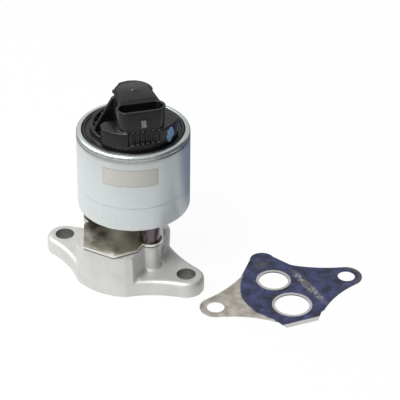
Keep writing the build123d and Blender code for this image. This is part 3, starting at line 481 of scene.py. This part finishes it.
def turned_mesh(name, profile, centre, steps=64):
    """A solid turned from (radius, height) points that start and end on the axis at centre."""
    work = bmesh.new()
    turn = [math.tau * step / steps for step in range(steps)]
    columns = []
    for radius, height in profile:
        if radius == 0:
            columns.append([work.verts.new((*centre, height))] * steps)
            continue
        ring = [(centre[0] + radius * math.cos(a), centre[1] + radius * math.sin(a), height) for a in turn]
        columns.append([work.verts.new(place) for place in ring])
    for low, high in zip(columns, columns[1:]):
        for step in range(steps):
            after = (step + 1) % steps
            corners = dict.fromkeys((low[step], low[after], high[after], high[step]))
            if len(corners) > 2:
                work.faces.new(corners)
    bmesh.ops.recalc_face_normals(work, faces=work.faces)
    return mesh_from(name, work)


def drill(name, radius, low, high, centre, steps=64):
    """An upright cylinder, used as a plug before a remesh or as a cutter after it."""
    profile = [(0, low), (radius, low), (radius, high), (0, high)]
    return new_piece(name, turned_mesh(name, profile, centre, steps))


def block(name, low, high):
    """A plain box between two corners."""
    work = bmesh.new()
    size = Vector(high) - Vector(low)
    place = Matrix.Translation(Vector(low) + size / 2) @ Matrix.Diagonal((*size, 1))
    bmesh.ops.create_cube(work, size=1.0, matrix=place)
    return new_piece(name, mesh_from(name, work))


print("valve axis at y =", round(AXIS_Y / MM, 3), "mm")

# %% Helpers for pieces


def evaluated_mesh(piece, name):
    """The mesh that a piece's modifiers make of it, as a plain one; the piece goes."""
    graph = bpy.context.evaluated_depsgraph_get()
    mesh = bpy.data.meshes.new_from_object(piece.evaluated_get(graph))
    mesh.name = name
    bpy.data.objects.remove(piece)
    return mesh


def joined(name, pieces):
    """Several pieces as one mesh; the old ones go."""
    work = bmesh.new()
    for piece in pieces:
        work.from_mesh(piece.data)
        bpy.data.objects.remove(piece)
    return new_piece(name, mesh_from(name, work))


def softened(piece, name, voxel, passes, keep=1.0):
    """A piece remeshed in small voxels and smoothed, with that share of its faces kept."""
    voxels = piece.modifiers.new("voxels", "REMESH")
    voxels.mode = "VOXEL"
    voxels.voxel_size = voxel
    smooth = piece.modifiers.new("smooth", "SMOOTH")
    smooth.factor = 0.5
    smooth.iterations = passes
    if keep < 1:
        piece.modifiers.new("thin_flat_parts", "DECIMATE").ratio = keep
    return new_piece(name, evaluated_mesh(piece, name))


def machined(piece, cutters):
    """A piece with each cutter taken out of it in turn; the cutters go."""
    for cutter in cutters:
        cut = piece.modifiers.new(cutter.name, "BOOLEAN")
        cut.operation = "DIFFERENCE"
        cut.solver = "MANIFOLD"
        cut.object = cutter
    left = new_piece(piece.name, evaluated_mesh(piece, piece.name))
    for cutter in cutters:
        bpy.data.objects.remove(cutter)
    return left


def cut_up(piece):
    """Cuts a piece's many-sided faces into plain triangles, with none that has no area."""
    work = bmesh.new()
    work.from_mesh(piece.data)
    many_sided = [face for face in work.faces if len(face.verts) > 4]
    bmesh.ops.triangulate(work, faces=many_sided, ngon_method="BEAUTY")
    bmesh.ops.dissolve_degenerate(work, edges=work.edges, dist=0.0005 * MM)
    work.to_mesh(piece.data)
    work.free()


def smooth_shaded(piece, sharp_over):
    """Shades a piece smooth, with edges kept sharp over that many degrees."""
    piece.data.shade_smooth()
    piece.data.set_sharp_from_angle(angle=math.radians(sharp_over))


def settle(piece, finish, slot, *nodes):
    """Gives a piece its finish, unless a tree did, its body and the nodes it stands for; the slot is not
    used.
    """
    if finish is not None:
        piece.data.materials.clear()
        piece.data.materials.append(finish)
    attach(piece, VALVE)
    if nodes:
        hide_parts(*nodes)
    print(piece.name, len(piece.data.polygons), "faces")


# %% [markdown]
# ## The cast foot
#
# Castings have no sharp inner corners: metal would tear there as it shrinks, so the pattern maker
# runs a fillet along every one. A bevel would have to meet itself at dozens of odd corners, so this
# foot is made as in the foundry. Its holes are plugged, the whole is remeshed in small voxels and
# smoothed, which rounds every corner at once, and then it is machined: both flat faces, the ports
# and the bolt holes are cut crisp again.

# %% Cast the foot
FLANGE_TOP, FOOT_TOP = 7.9 * MM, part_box("valve_body")[1].z
SCREW_CIRCLE_R, SCREW_ANGLES = 19.0 * MM, (84, 204, 324)
PORT_TOP = 17.4 * MM
OUTLET, STEM = (0.0, -11.8 * MM), (0.0, AXIS_Y)
bolts = [(-BOLT_X, 0.0), (BOLT_X, 0.0)]
screws = [
    (SCREW_CIRCLE_R * math.cos(turn), AXIS_Y + SCREW_CIRCLE_R * math.sin(turn))
    for turn in map(math.radians, SCREW_ANGLES)
]
# Each plug is a little wider than the hole that it fills.
plugs = [(4.9, 0.0, FLANGE_TOP, bolt) for bolt in bolts] + [(4.8, 0.0, FOOT_TOP, screw) for screw in screws]
plugs += [(8.9, 0.0, 18 * MM, OUTLET), (10.4, 0.0, FOOT_TOP, STEM)]
raw = [welded_copy("valve_body", "raw_foot")]
raw += [drill("plug", radius * MM, *rest) for radius, *rest in plugs]
raw += [block("plug", (-6.8 * MM, OUTLET[1], 9 * MM), (6.8 * MM, AXIS_Y, 18 * MM))]
cast_foot = softened(joined("raw_foot", raw), "cast_foot", voxel=0.45 * MM, passes=9)
print("cast", len(cast_foot.data.polygons), "faces")

# %% Machine the foot
BOLT_HOLE, SCREW_HOLE, COUNTERBORE = 4.5 * MM, 2.75 * MM, 4.45 * MM
INLET, SEAT_POCKET, CHAMBER, OUTLET_BORE = 7.1 * MM, 8.6 * MM, 10 * MM, 8.25 * MM
PASSAGE_HALF = 6.3 * MM
SKIN, HAIR = 0.45 * MM, 0.01 * MM
cutters = [
    block("mill_low", (-60 * MM, -40 * MM, -5 * MM), (60 * MM, 50 * MM, SKIN)),
    block("mill_high", (-60 * MM, -40 * MM, FOOT_TOP - SKIN), (60 * MM, 50 * MM, FOOT_TOP + 5 * MM)),
]
cutters += [drill("drill", BOLT_HOLE, -1 * MM, 12 * MM, bolt) for bolt in bolts]
cutters += [drill("drill", SCREW_HOLE, -1 * MM, FOOT_TOP + MM, screw, 40) for screw in screws]
cutters += [drill("counterbore", COUNTERBORE, -1 * MM, 6 * MM, screw) for screw in screws]
cutters += [
    drill("inlet", INLET, -1 * MM, 8 * MM, STEM),
    drill("seat_pocket", SEAT_POCKET, 4 * MM, 8 * MM, STEM),
    drill("chamber", CHAMBER, 7.4 * MM, FOOT_TOP + MM, STEM),
    drill("outlet", OUTLET_BORE, -1 * MM, PORT_TOP, OUTLET),
    block("passage", (-PASSAGE_HALF, OUTLET[1], 9.5 * MM), (PASSAGE_HALF, AXIS_Y, PORT_TOP)),
]
cast_foot = machined(cast_foot, cutters)
# The mill took a skin off both flat faces; the walls are carried out to their full heights.
for corner in cast_foot.data.vertices:
    if corner.co.z < SKIN + HAIR:
        corner.co.z = 0.0
    elif corner.co.z > FOOT_TOP - SKIN - HAIR:
        corner.co.z = FOOT_TOP
cut_up(cast_foot)
smooth_shaded(cast_foot, 40)
settle(cast_foot, shot_blasted_aluminium, "cast_body", "valve_body")

# %% [markdown]
# ## The moulded head
#
# A mould for glass-filled nylon has a radius on every edge, or the part would crack there. As with
# the foot, the whole head is remeshed and smoothed. It stands turned 45 degrees on the can, so the
# copy is first turned square with the voxels, which keeps its flat walls flat, and then turned back.

# %% Mould the head
HEAD_TURN = math.radians(45)
to_axis = Matrix.Translation((0.0, AXIS_Y, 0.0))
squared_up = to_axis @ Matrix.Rotation(-HEAD_TURN, 4, "Z") @ to_axis.inverted()
as_mounted = squared_up.inverted()
raw_head = welded_copy("connector_cap", "raw_head")
raw_head.data.transform(squared_up)
moulded_head = softened(raw_head, "moulded_head", voxel=0.27 * MM, passes=4, keep=0.5)
moulded_head.data.transform(as_mounted)
smooth_shaded(moulded_head, 60)
settle(moulded_head, black_nylon, "cap_plastic", "connector_cap")

# %% [markdown]
# ## The drawn can
#
# The can is drawn from a disc of steel, so its shape follows a rule: one profile turned about the
# axis. The profile is a closed curve of the wall, measured in from the outside and up, and each
# point carries its own corner's radius as its point radius. Geometry Nodes round the corners with
# those radii and sweep the profile round a circle.

# %% A tree that turns a profile
turning = bpy.data.node_groups.new("turn_profile", "GeometryNodeTree")
turning.is_modifier = True
for name, kind in {
    "Profile": "Geometry", "Outer Radius": "Float", "Steps Round": "Int",
    "Steps per Corner": "Int", "Copies": "Int", "Copy Circle Radius": "Float",
    "First Copy Angle": "Float", "Axis": "Vector", "Finish": "Material",
}.items():
    turning.interface.new_socket(name, in_out="INPUT", socket_type="NodeSocket" + kind)
turning.interface.new_socket("Solid", in_out="OUTPUT", socket_type="NodeSocketGeometry")
given = add(turning, "NodeGroupInput").outputs
corners = {"Curve": given["Profile"], "Radius": add(turning, "GeometryNodeInputRadius")}
corners |= {"Limit Radius": True, "Count": given["Steps per Corner"]}
rounded = add(turning, "GeometryNodeFilletCurve", corners, mode="POLY")
upright = add(turning, "GeometryNodeTransform", {"Geometry": rounded, "Scale": (1.0, -1.0, 1.0)})
circle = {"Resolution": given["Steps Round"], "Radius": given["Outer Radius"]}
path = add(turning, "GeometryNodeCurvePrimitiveCircle", circle)
solid = add(turning, "GeometryNodeCurveToMesh", {"Curve": path, "Profile Curve": upright})

# %% Its copies, stood round the axis
share = add(turning, "ShaderNodeMath", {0: math.tau, 1: given["Copies"]}, operation="DIVIDE")
number = add(turning, "GeometryNodeInputIndex")
first = given["First Copy Angle"]
angle = add(turning, "ShaderNodeMath", {0: number, 1: share, 2: first}, operation="MULTIPLY_ADD")
arm = add(turning, "ShaderNodeCombineXYZ", {"X": given["Copy Circle Radius"]})
spread = add(turning, "ShaderNodeVectorRotate", {"Vector": arm, "Angle": angle}, rotation_type="Z_AXIS")
spot = add(turning, "ShaderNodeVectorMath", {0: spread, 1: given["Axis"]}, operation="ADD")
spots = add(turning, "GeometryNodePoints", {"Count": given["Copies"], "Position": spot})
copies = add(turning, "GeometryNodeInstanceOnPoints", {"Points": spots, "Instance": solid})
real = add(turning, "GeometryNodeRealizeInstances", {"Geometry": copies})
coated = add(turning, "GeometryNodeSetMaterial", {"Geometry": real, "Material": given["Finish"]})
add(turning, "NodeGroupOutput", {"Solid": coated})
print("inputs of the tree:", [s.name for s in turning.interface.items_tree])

# %% Run the tree on an outline


def turned_piece(name, outline, sizes):
    """Turns an outline of (radius, height, corner radius) in millimetres by the tree above."""
    outer = max(point[0] for point in outline) * MM
    curve = bpy.data.curves.new(name + "_outline", "CURVE")
    curve.dimensions = "2D"
    spline = curve.splines.new("POLY")
    spline.points.add(len(outline) - 1)
    for point, (radius, height, corner) in zip(spline.points, outline):
        point.co = (radius * MM - outer, height * MM, 0.0, 1.0)
        point.radius = corner * MM
    spline.use_cyclic_u = True
    carrier = new_piece(name + "_outline", curve)
    sweep = carrier.modifiers.new("turn", "NODES")
    sweep.node_group = turning
    sizes = {**sizes, "Outer Radius": outer, "Axis": (0.0, AXIS_Y, 0.0)}
    for socket in turning.interface.items_tree:
        if socket.in_out == "INPUT" and socket.name in sizes:
            sweep[socket.identifier] = sizes[socket.name]
    mesh = evaluated_mesh(carrier, name)
    work = bmesh.new()
    work.from_mesh(mesh)
    bmesh.ops.remove_doubles(work, verts=work.verts, dist=0.001 * MM)
    bmesh.ops.recalc_face_normals(work, faces=work.faces)
    work.to_mesh(mesh)
    work.free()
    return new_piece(name, mesh)


# %% The can's profile, swept and drilled
CAN_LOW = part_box("solenoid_can")[0].z / MM
CAN_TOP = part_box("solenoid_can")[1].z / MM
WALL_OUT, WALL_IN, MOUTH, FLOOR_HOLE = 27.0, 25.4, 24.56, 6.0
FLOOR_T, LIP_T = 1.8, 1.0
CREASE, CREASE_DEEP, CREASE_HALF = 46.1, 0.12, 0.5
CRIMP, CRIMP_DEEP, CRIMP_HALF = 71.9, 0.3, 0.75
can_outline = [
    (FLOOR_HOLE, CAN_LOW, 0.2),
    (WALL_OUT, CAN_LOW, 1.3),
    (WALL_OUT, CREASE - CREASE_HALF, 0.6),
    (WALL_OUT - CREASE_DEEP, CREASE, 0.3),
    (WALL_OUT, CREASE + CREASE_HALF, 0.6),
    (WALL_OUT, CRIMP - CRIMP_HALF, 0.6),
    (WALL_OUT - CRIMP_DEEP, CRIMP, 0.5),
    (WALL_OUT, CRIMP + CRIMP_HALF, 0.6),
    (WALL_OUT, CAN_TOP, 2.1),
    (MOUTH, CAN_TOP, 0.35),
    (MOUTH, CAN_TOP - LIP_T, 0.2),
    (WALL_IN, CAN_TOP - LIP_T, 0.2),
    (WALL_IN, CAN_LOW + FLOOR_T, 0.5),
    (FLOOR_HOLE, CAN_LOW + FLOOR_T, 0.2),
]
sizes = {"Steps Round": 160, "Steps per Corner": 5, "Copies": 1, "Finish": silver_paint}
drawn_can = turned_piece("drawn_can", can_outline, sizes)
low, high = (CAN_LOW - 1) * MM, (CAN_LOW + 3) * MM
drawn_can = machined(drawn_can, [drill("drill", SCREW_HOLE, low, high, screw, 40) for screw in screws])
smooth_shaded(drawn_can, 50)
settle(drawn_can, None, "can_paint", "solenoid_can")

# %% [markdown]
# ## The three spacers
#
# The spacers are turned on a lathe, all alike, and stand on the circle of the three screws: the same
# tree with three copies, the first at the rear screw's angle. Their ends carry a small chamfer.

# %% Turn and place the spacers
SPACER_R, SPACER_BORE = 5.0, 2.75
SPACER_LOW, SPACER_HIGH = spacer_low.z / MM, spacer_high.z / MM
spacer_outline = [
    (SPACER_BORE, SPACER_LOW, 0.15),
    (SPACER_R, SPACER_LOW, 0.4),
    (SPACER_R, SPACER_HIGH, 0.4),
    (SPACER_BORE, SPACER_HIGH, 0.15),
]
sizes = {"Steps Round": 72, "Steps per Corner": 4, "Copies": 3, "Finish": heat_tinted_steel}
ring = {"Copy Circle Radius": SCREW_CIRCLE_R, "First Copy Angle": math.radians(SCREW_ANGLES[0])}
spacers = turned_piece("turned_spacers", spacer_outline, {**sizes, **ring})
smooth_shaded(spacers, 50)
settle(spacers, None, "spacer_plating", "spacer_rear", "spacer_left", "spacer_right")

# %% [markdown]
# ## Stamped and trimmed pieces
#
# The cover plate, the sheet under it and the sensor's lid keep their shape, but no pressed or moulded
# edge is a knife, so each gets a small bevel, wide enough to catch a line of light. The press leaves
# the corners of plate and sheet a little proud of the casting's edge.

# %% Break the edges of plate, sheet and lid
PROUD_CORNERS = [(8.4, -22.7, 8.3, -23.4), (-8.4, -22.7, -8.4, -23.4), (14.4, -12.8, 15.5, -12.9)]


def edged_copy(node, name, width, finish, slot, drawn_out=()):
    """A node's copy with flat faces merged and a small round run along its sharp edges.

    Corners listed as (x, y, new x, new y) in millimetres are drawn out to their new place first.
    """
    piece = welded_copy(node, name)
    for old_x, old_y, new_x, new_y in drawn_out:
        for corner in piece.data.vertices:
            if math.hypot(corner.co.x - old_x * MM, corner.co.y - old_y * MM) < 0.2 * MM:
                corner.co.x, corner.co.y = new_x * MM, new_y * MM
    merge = piece.modifiers.new("merge_flat_faces", "DECIMATE")
    merge.decimate_type = "DISSOLVE"
    merge.angle_limit = math.radians(1)
    edge = piece.modifiers.new("broken_edge", "BEVEL")
    edge.width = width * MM
    edge.segments = 3
    edge.angle_limit = math.radians(50)
    edge.use_clamp_overlap = True
    piece = new_piece(name, evaluated_mesh(piece, name))
    cut_up(piece)
    smooth_shaded(piece, 50)
    settle(piece, finish, slot, node)


edged_copy("cover_plate", "stamped_cover", 0.22, oxidised_plate_steel, "dark_plate", PROUD_CORNERS)
edged_copy("cover_gasket", "cut_sheet", 0.06, graphite_sheet, "graphite", PROUD_CORNERS)
edged_copy("sensor_lid", "moulded_lid", 0.25, black_nylon, "cap_plastic")

# %% [markdown]
# ## A blank sticker and a dab of paint
#
# A paper-thin blank film is stuck round the can, with a darker border where its edge has picked up
# dirt. The inspector's dab of blue paint on the head has an uneven outline, because it was put on
# with a brush. Both are thin patches on a round wall.

# %% Lay a patch on a round wall
STRIP_W = 0.8 * MM


def wall_patch(name, radius, thick, outline, finish, slot):
    """A closed thin patch on an upright wall about the valve's axis, from (angle, height) points."""
    work = bmesh.new()
    flat = [work.verts.new((angle * radius, height, 0.0)) for angle, height in outline]
    work.faces.new(flat)
    low = min(v.co.x for v in flat)
    high = max(v.co.x for v in flat)
    cuts = int((high - low) / STRIP_W)
    for cut in range(1, cuts):
        bmesh.ops.bisect_plane(
            work,
            geom=work.verts[:] + work.edges[:] + work.faces[:],
            plane_co=(low + (high - low) * cut / cuts, 0.0, 0.0),
            plane_no=(1.0, 0.0, 0.0),
        )
    grown = bmesh.ops.extrude_face_region(work, geom=work.faces[:])["geom"]
    upper = [part for part in grown if isinstance(part, bmesh.types.BMVert)]
    bmesh.ops.translate(work, vec=(0.0, 0.0, thick), verts=upper)
    for vert in work.verts:
        angle, height, out = vert.co.x / radius, vert.co.y, radius + vert.co.z
        vert.co = (out * math.cos(angle), AXIS_Y + out * math.sin(angle), height)
    bmesh.ops.recalc_face_normals(work, faces=work.faces)
    piece = new_piece(name, mesh_from(name, work))
    smooth_shaded(piece, 40)
    settle(piece, finish, slot)


# %% Stick the sticker
CAN_R = WALL_OUT * MM
STICKER_LOW = (math.radians(-90.5), 58.3 * MM)
STICKER_HIGH = (math.radians(-34.5), 66.8 * MM)
BORDER, OUTLINE_POINTS = 0.25 * MM, 24


def rounded_box(low, high, corner):
    """The outline of a sticker with round corners, as (angle, height) points on the can."""
    reach = (corner / CAN_R, corner)
    points = []
    for step in range(OUTLINE_POINTS):
        turn = math.tau * step / OUTLINE_POINTS + math.tau / (2 * OUTLINE_POINTS)
        way = (math.cos(turn), math.sin(turn))
        points.append(
            tuple(
                (a + b) / 2 + math.copysign(1, w) * ((b - a) / 2 - c) + c * w
                for a, b, c, w in zip(low, high, reach, way)
            )
        )
    return points


grown_low = (STICKER_LOW[0] - BORDER / CAN_R, STICKER_LOW[1] - BORDER)
grown_high = (STICKER_HIGH[0] + BORDER / CAN_R, STICKER_HIGH[1] + BORDER)
border_outline = rounded_box(grown_low, grown_high, 0.9 * MM)
film_outline = rounded_box(STICKER_LOW, STICKER_HIGH, 0.7 * MM)
wall_patch("sticker_border", CAN_R, 0.05 * MM, border_outline, sticker_edge, "can_paint")
wall_patch("sticker_film", CAN_R, 0.09 * MM, film_outline, sticker_film, "can_paint")

# %% Dab the paint
DRUM_R = 22.2 * MM
dab = [
    (-7.6, 82.7), (-4.5, 82.2), (-1.4, 79.8), (0.2, 77.7), (-3.8, 76.7), (-6.2, 75.2),
    (-10.5, 75.0), (-13.7, 76.7), (-14.9, 78.7), (-12.8, 79.7), (-14.1, 81.5), (-10.5, 81.7),
]
dab_outline = [(math.radians(angle), height * MM) for angle, height in dab]
wall_patch("paint_dab", DRUM_R, 0.06 * MM, dab_outline, inspection_paint, "cap_plastic")

# %% [markdown]
# ## A painted highlight on the latch, and the lid's plug
#
# The latch's ramp is painted grey as a painted highlight, on a sheet a few hundredths of a millimetre
# proud of the ramp. A small bright dome closes the hole in the lid.

# %% Paint a highlight on the latch
# The ramp's two ends, as (distance in front of the axis, height) with the head turned square.
RAMP_LOW = Vector((-21.45 * MM, RIM_TOP + 12 * MM))
RAMP_HIGH = Vector((-20.45 * MM, RIM_TOP + 15.4 * MM))
HIGHLIGHT_HALF_W, HIGHLIGHT_HALF_T, SUNK, SHORT_OF_END = 1.15 * MM, 0.18 * MM, 0.1 * MM, 0.15 * MM
ramp = RAMP_HIGH - RAMP_LOW
outward = Vector((-ramp.y, ramp.x)).normalized()
middle = (RAMP_LOW + RAMP_HIGH) / 2 - outward * SUNK
half = Vector((HIGHLIGHT_HALF_W, HIGHLIGHT_HALF_T, ramp.length / 2 - SHORT_OF_END))
latch_highlight = block("latch_highlight", -half, half)
tilt = Matrix.Rotation(-math.atan2(ramp.x, ramp.y), 4, "X")
on_ramp = Matrix.Translation((0.0, AXIS_Y + middle.x, middle.y))
latch_highlight.data.transform(as_mounted @ on_ramp @ tilt)
settle(latch_highlight, highlight_grey_nylon, "cap_plastic")

# %% Close the lid
LID_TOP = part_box("sensor_lid")[1].z
PLUG_R, DOME_H, DOME_STEPS = 0.49 * MM, 0.4 * MM, 6
dome = [(0.0, LID_TOP - MM), (PLUG_R, LID_TOP - MM)]
for step in range(DOME_STEPS):
    turn = math.pi / 2 * step / DOME_STEPS
    dome.append((PLUG_R * math.cos(turn), LID_TOP - DOME_H + DOME_H * math.sin(turn)))
dome.append((0.0, LID_TOP))
lid_plug = new_piece("lid_plug", turned_mesh("lid_plug", dome, STEM, 32))
smooth_shaded(lid_plug, 40)
settle(lid_plug, stainless_steel, "plated_steel")

# %% [markdown] ## The springs A rigid coil would run through the parts that press it; each spring's wire stays a rigid copy with a mesh of its own.


def coil_piece(node, name):
    """A spring's wire as a piece with a mesh of its own."""
    coil = welded_copy(node, name)
    smooth_shaded(coil, 70)
    settle(coil, spring_steel, "spring_wire", node)
    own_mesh(coil)


coil_piece("return_spring", "wound_return_spring")
coil_piece("sensor_spring", "wound_sensor_spring")

# %% [markdown]
# ## The rest of the frame
#
# The other pieces, most of them inside, keep their engineering meshes and get their finish.

# %% Dress the frame
finishes = {
    "valve_seat valve_stem bearing_holder deposit_shield": stainless_steel,
    "clamp_screws": zinc_plated_steel,
    "shaft_bearing": bearing_carbon,
    "lower_pole upper_pole armature": soft_iron,
    "armature_sleeve": drawn_brass,
    "coil_winding": enamelled_copper,
    "coil_bobbin sensor_plunger wiper_carrier": bobbin_nylon,
    "coil_terminals connector_pins wiper_contacts": tinned_brass,
    "cap_seal_ring": seal_rubber,
    "resistor_board": resistor_laminate,
    "flange_gasket": coated_gasket_steel,
}
for nodes, finish in finishes.items():
    for node in nodes.split():
        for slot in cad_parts[node].material_slots:
            slot.material = finish
print("dressed", len(" ".join(finishes).split()), "nodes")

# %% [markdown]
# ## The studio
#
# A pale floor that keeps a soft shadow, and a white room. The camera sees both white. Reflections
# see what lies about a real workpiece: a sheet of white paper, the dim table past its edge and a
# blue cloth behind, without which bright metal would look flat. Every other ray sees a plain pale
# floor, so that the light that comes back up under the valve stays natural.

# %% Floor


def seen_directly(tree):
    """1 for rays from the camera and for reflections and refractions, else 0."""
    path = add(tree, "ShaderNodeLightPath").outputs
    rays = {0: path["Is Camera Ray"], 1: path["Is Glossy Ray"]}
    sharp = add(tree, "ShaderNodeMath", rays, operation="MAXIMUM")
    return add(tree, "ShaderNodeMath", {0: sharp, 1: path["Is Transmission Ray"]}, operation="MAXIMUM")


WHITE = (1.0, 1.0, 1.0, 1.0)
FLOOR_R = 4.0
PAPER_MIDDLE, PAPER_R, PAPER_LIGHT = (0.0, 0.01, 0.0), 0.13, 0.9
TABLE_R, TABLE_LIGHT = 0.18, 0.1
CLOTH_MIDDLE, CLOTH_R, CLOTH_BLUR = (0.045, 0.15, 0.0), 0.1, 0.03
white_floor, tree, spot = start("white_floor")
plain = add(tree, "ShaderNodeBsdfDiffuse", {"Color": "#f2f2f2"})
away = add(tree, "ShaderNodeVectorMath", {0: spot, 1: PAPER_MIDDLE}, operation="DISTANCE")
fade = {"From Min": PAPER_R, "From Max": TABLE_R, "To Min": PAPER_LIGHT, "To Max": TABLE_LIGHT}
paper = add(tree, "ShaderNodeMapRange", {"Value": away, **fade})
aside = add(tree, "ShaderNodeVectorMath", {0: spot, 1: CLOTH_MIDDLE}, operation="DISTANCE")
fade = {"From Min": CLOTH_R - CLOTH_BLUR, "From Max": CLOTH_R, "To Min": 1.0, "To Max": 0.0}
cloth = add(tree, "ShaderNodeMapRange", {"Value": aside, **fade})
grey = add(tree, "ShaderNodeCombineColor", {0: paper, 1: paper, 2: paper})
table = add(tree, "ShaderNodeMix", {0: cloth, 6: grey, 7: "#4f618a"}, data_type="RGBA")
from_camera = add(tree, "ShaderNodeLightPath").outputs["Is Camera Ray"]
bright = add(tree, "ShaderNodeMix", {0: from_camera, 6: table, 7: WHITE}, data_type="RGBA")
glowing = add(tree, "ShaderNodeEmission", {"Color": bright, "Strength": 1.0})
glow = add(tree, "ShaderNodeMath", {0: seen_directly(tree), 1: 0.95}, operation="MULTIPLY")
both = add(tree, "ShaderNodeMixShader", {0: glow, 1: plain, 2: glowing})
add(tree, "ShaderNodeOutputMaterial", {"Surface": both})
work = bmesh.new()
bmesh.ops.create_circle(work, cap_ends=True, segments=96, radius=FLOOR_R)
floor = new_piece("floor", mesh_from("floor", work))
floor.data.materials.append(white_floor)
floor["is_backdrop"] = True
print("floor is", 2 * FLOOR_R, "m across")

# %% Room
room = bpy.data.worlds.new("white_room")
bpy.context.scene.world = room
room.use_nodes = True
tree = room.node_tree
tree.nodes.clear()
from_camera = add(tree, "ShaderNodeLightPath").outputs["Is Camera Ray"]
dim = {"To Min": 0.24, "To Max": 0.6}
reflected = add(tree, "ShaderNodeMapRange", {"Value": seen_directly(tree), **dim})
strength = add(tree, "ShaderNodeMix", {0: from_camera, 2: reflected, 3: 1.0})
sky = add(tree, "ShaderNodeBackground", {"Color": WHITE, "Strength": strength})
add(tree, "ShaderNodeOutputWorld", {"Surface": sky})
print("the room is white to the camera")

# %% [markdown]
# ## Flag and lamps
#
# A flag, which is a sheet of dark felt, stands at the right. The camera doesn't see it and it
# throws no shadow; it only takes the room's light from that side, so that round shapes keep a dark
# flank. Two soft boxes give the light: the key hangs high in front, to the left of the camera, and
# the fill is broad and high at the far left.

# %% Flag
FLAG_MIDDLE, FLAG_TURN = (0.30, 0.13, 0.22), math.radians(25)
FLAG_TALL, FLAG_WIDE = 0.44, 0.5
flag_felt, tree = bare_tree("dark_flag_felt")
felt = add(tree, "ShaderNodeBsdfDiffuse", {"Color": "#20242c"})
add(tree, "ShaderNodeOutputMaterial", {"Surface": felt})
work = bmesh.new()
stood_up = Matrix.Rotation(math.radians(90), 4, "Y") @ Matrix.Diagonal((FLAG_TALL, FLAG_WIDE, 1.0, 1.0))
place = Matrix.Translation(FLAG_MIDDLE) @ Matrix.Rotation(FLAG_TURN, 4, "Z") @ stood_up
bmesh.ops.create_grid(work, x_segments=1, y_segments=1, size=0.5, matrix=place)
flag = new_piece("flag", mesh_from("flag", work))
flag.data.materials.append(flag_felt)
flag.visible_camera = False
flag.visible_shadow = False
flag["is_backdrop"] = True
print("flag stands", round(Vector(FLAG_MIDDLE).length, 2), "m off")

# %% Soft boxes
HEART = (0.01, 0.01, 0.045)


def soft_box(name, place, aim, side, power):
    """A square area lamp of that side in metres, turned to face a point."""
    lamp = bpy.data.lights.new(name, "AREA")
    lamp.size = side
    lamp.energy = power
    box = new_piece(name, lamp)
    box.location = place
    box.rotation_euler = (Vector(aim) - Vector(place)).to_track_quat("-Z", "Y").to_euler()


soft_box("key", (-0.1, -0.6, 0.95), HEART, 0.5, 10.0)
soft_box("fill", (-0.8, -0.25, 0.8), HEART, 0.7, 6.0)

# %% [markdown]
# ## The camera
#
# A long lens, well back and a third of the way up to overhead, as for a parts catalogue. It is
# placed for a square picture.

# %% Set the camera
LENS, CAMERA_PLACE = 157.76, (369.86 * MM, -597.60 * MM, 495.84 * MM)
AZIMUTH, PITCH, ROLL = math.radians(28.78), math.radians(33.03), math.radians(0.68)
camera_data = bpy.data.cameras.new("camera")
camera_data.sensor_fit = "HORIZONTAL"
camera_data.sensor_width = 36.0
camera_data.lens = LENS
camera_data.clip_start = 0.01
camera = new_piece("camera", camera_data)
look = Matrix.Rotation(AZIMUTH, 4, "Z") @ Matrix.Rotation(math.pi / 2 - PITCH, 4, "X")
look = look @ Matrix.Rotation(ROLL, 4, "Z")
camera.matrix_world = Matrix.Translation(CAMERA_PLACE) @ look
bpy.context.scene.camera = camera
bpy.context.scene.view_settings.view_transform = "Standard"
print("camera", round(Vector(CAMERA_PLACE).length, 3), "m off")

# %% Write the sizes and finish
low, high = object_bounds()
print("visual box, mm:", [round(v / MM, 1) for v in low], [round(v / MM, 1) for v in high])
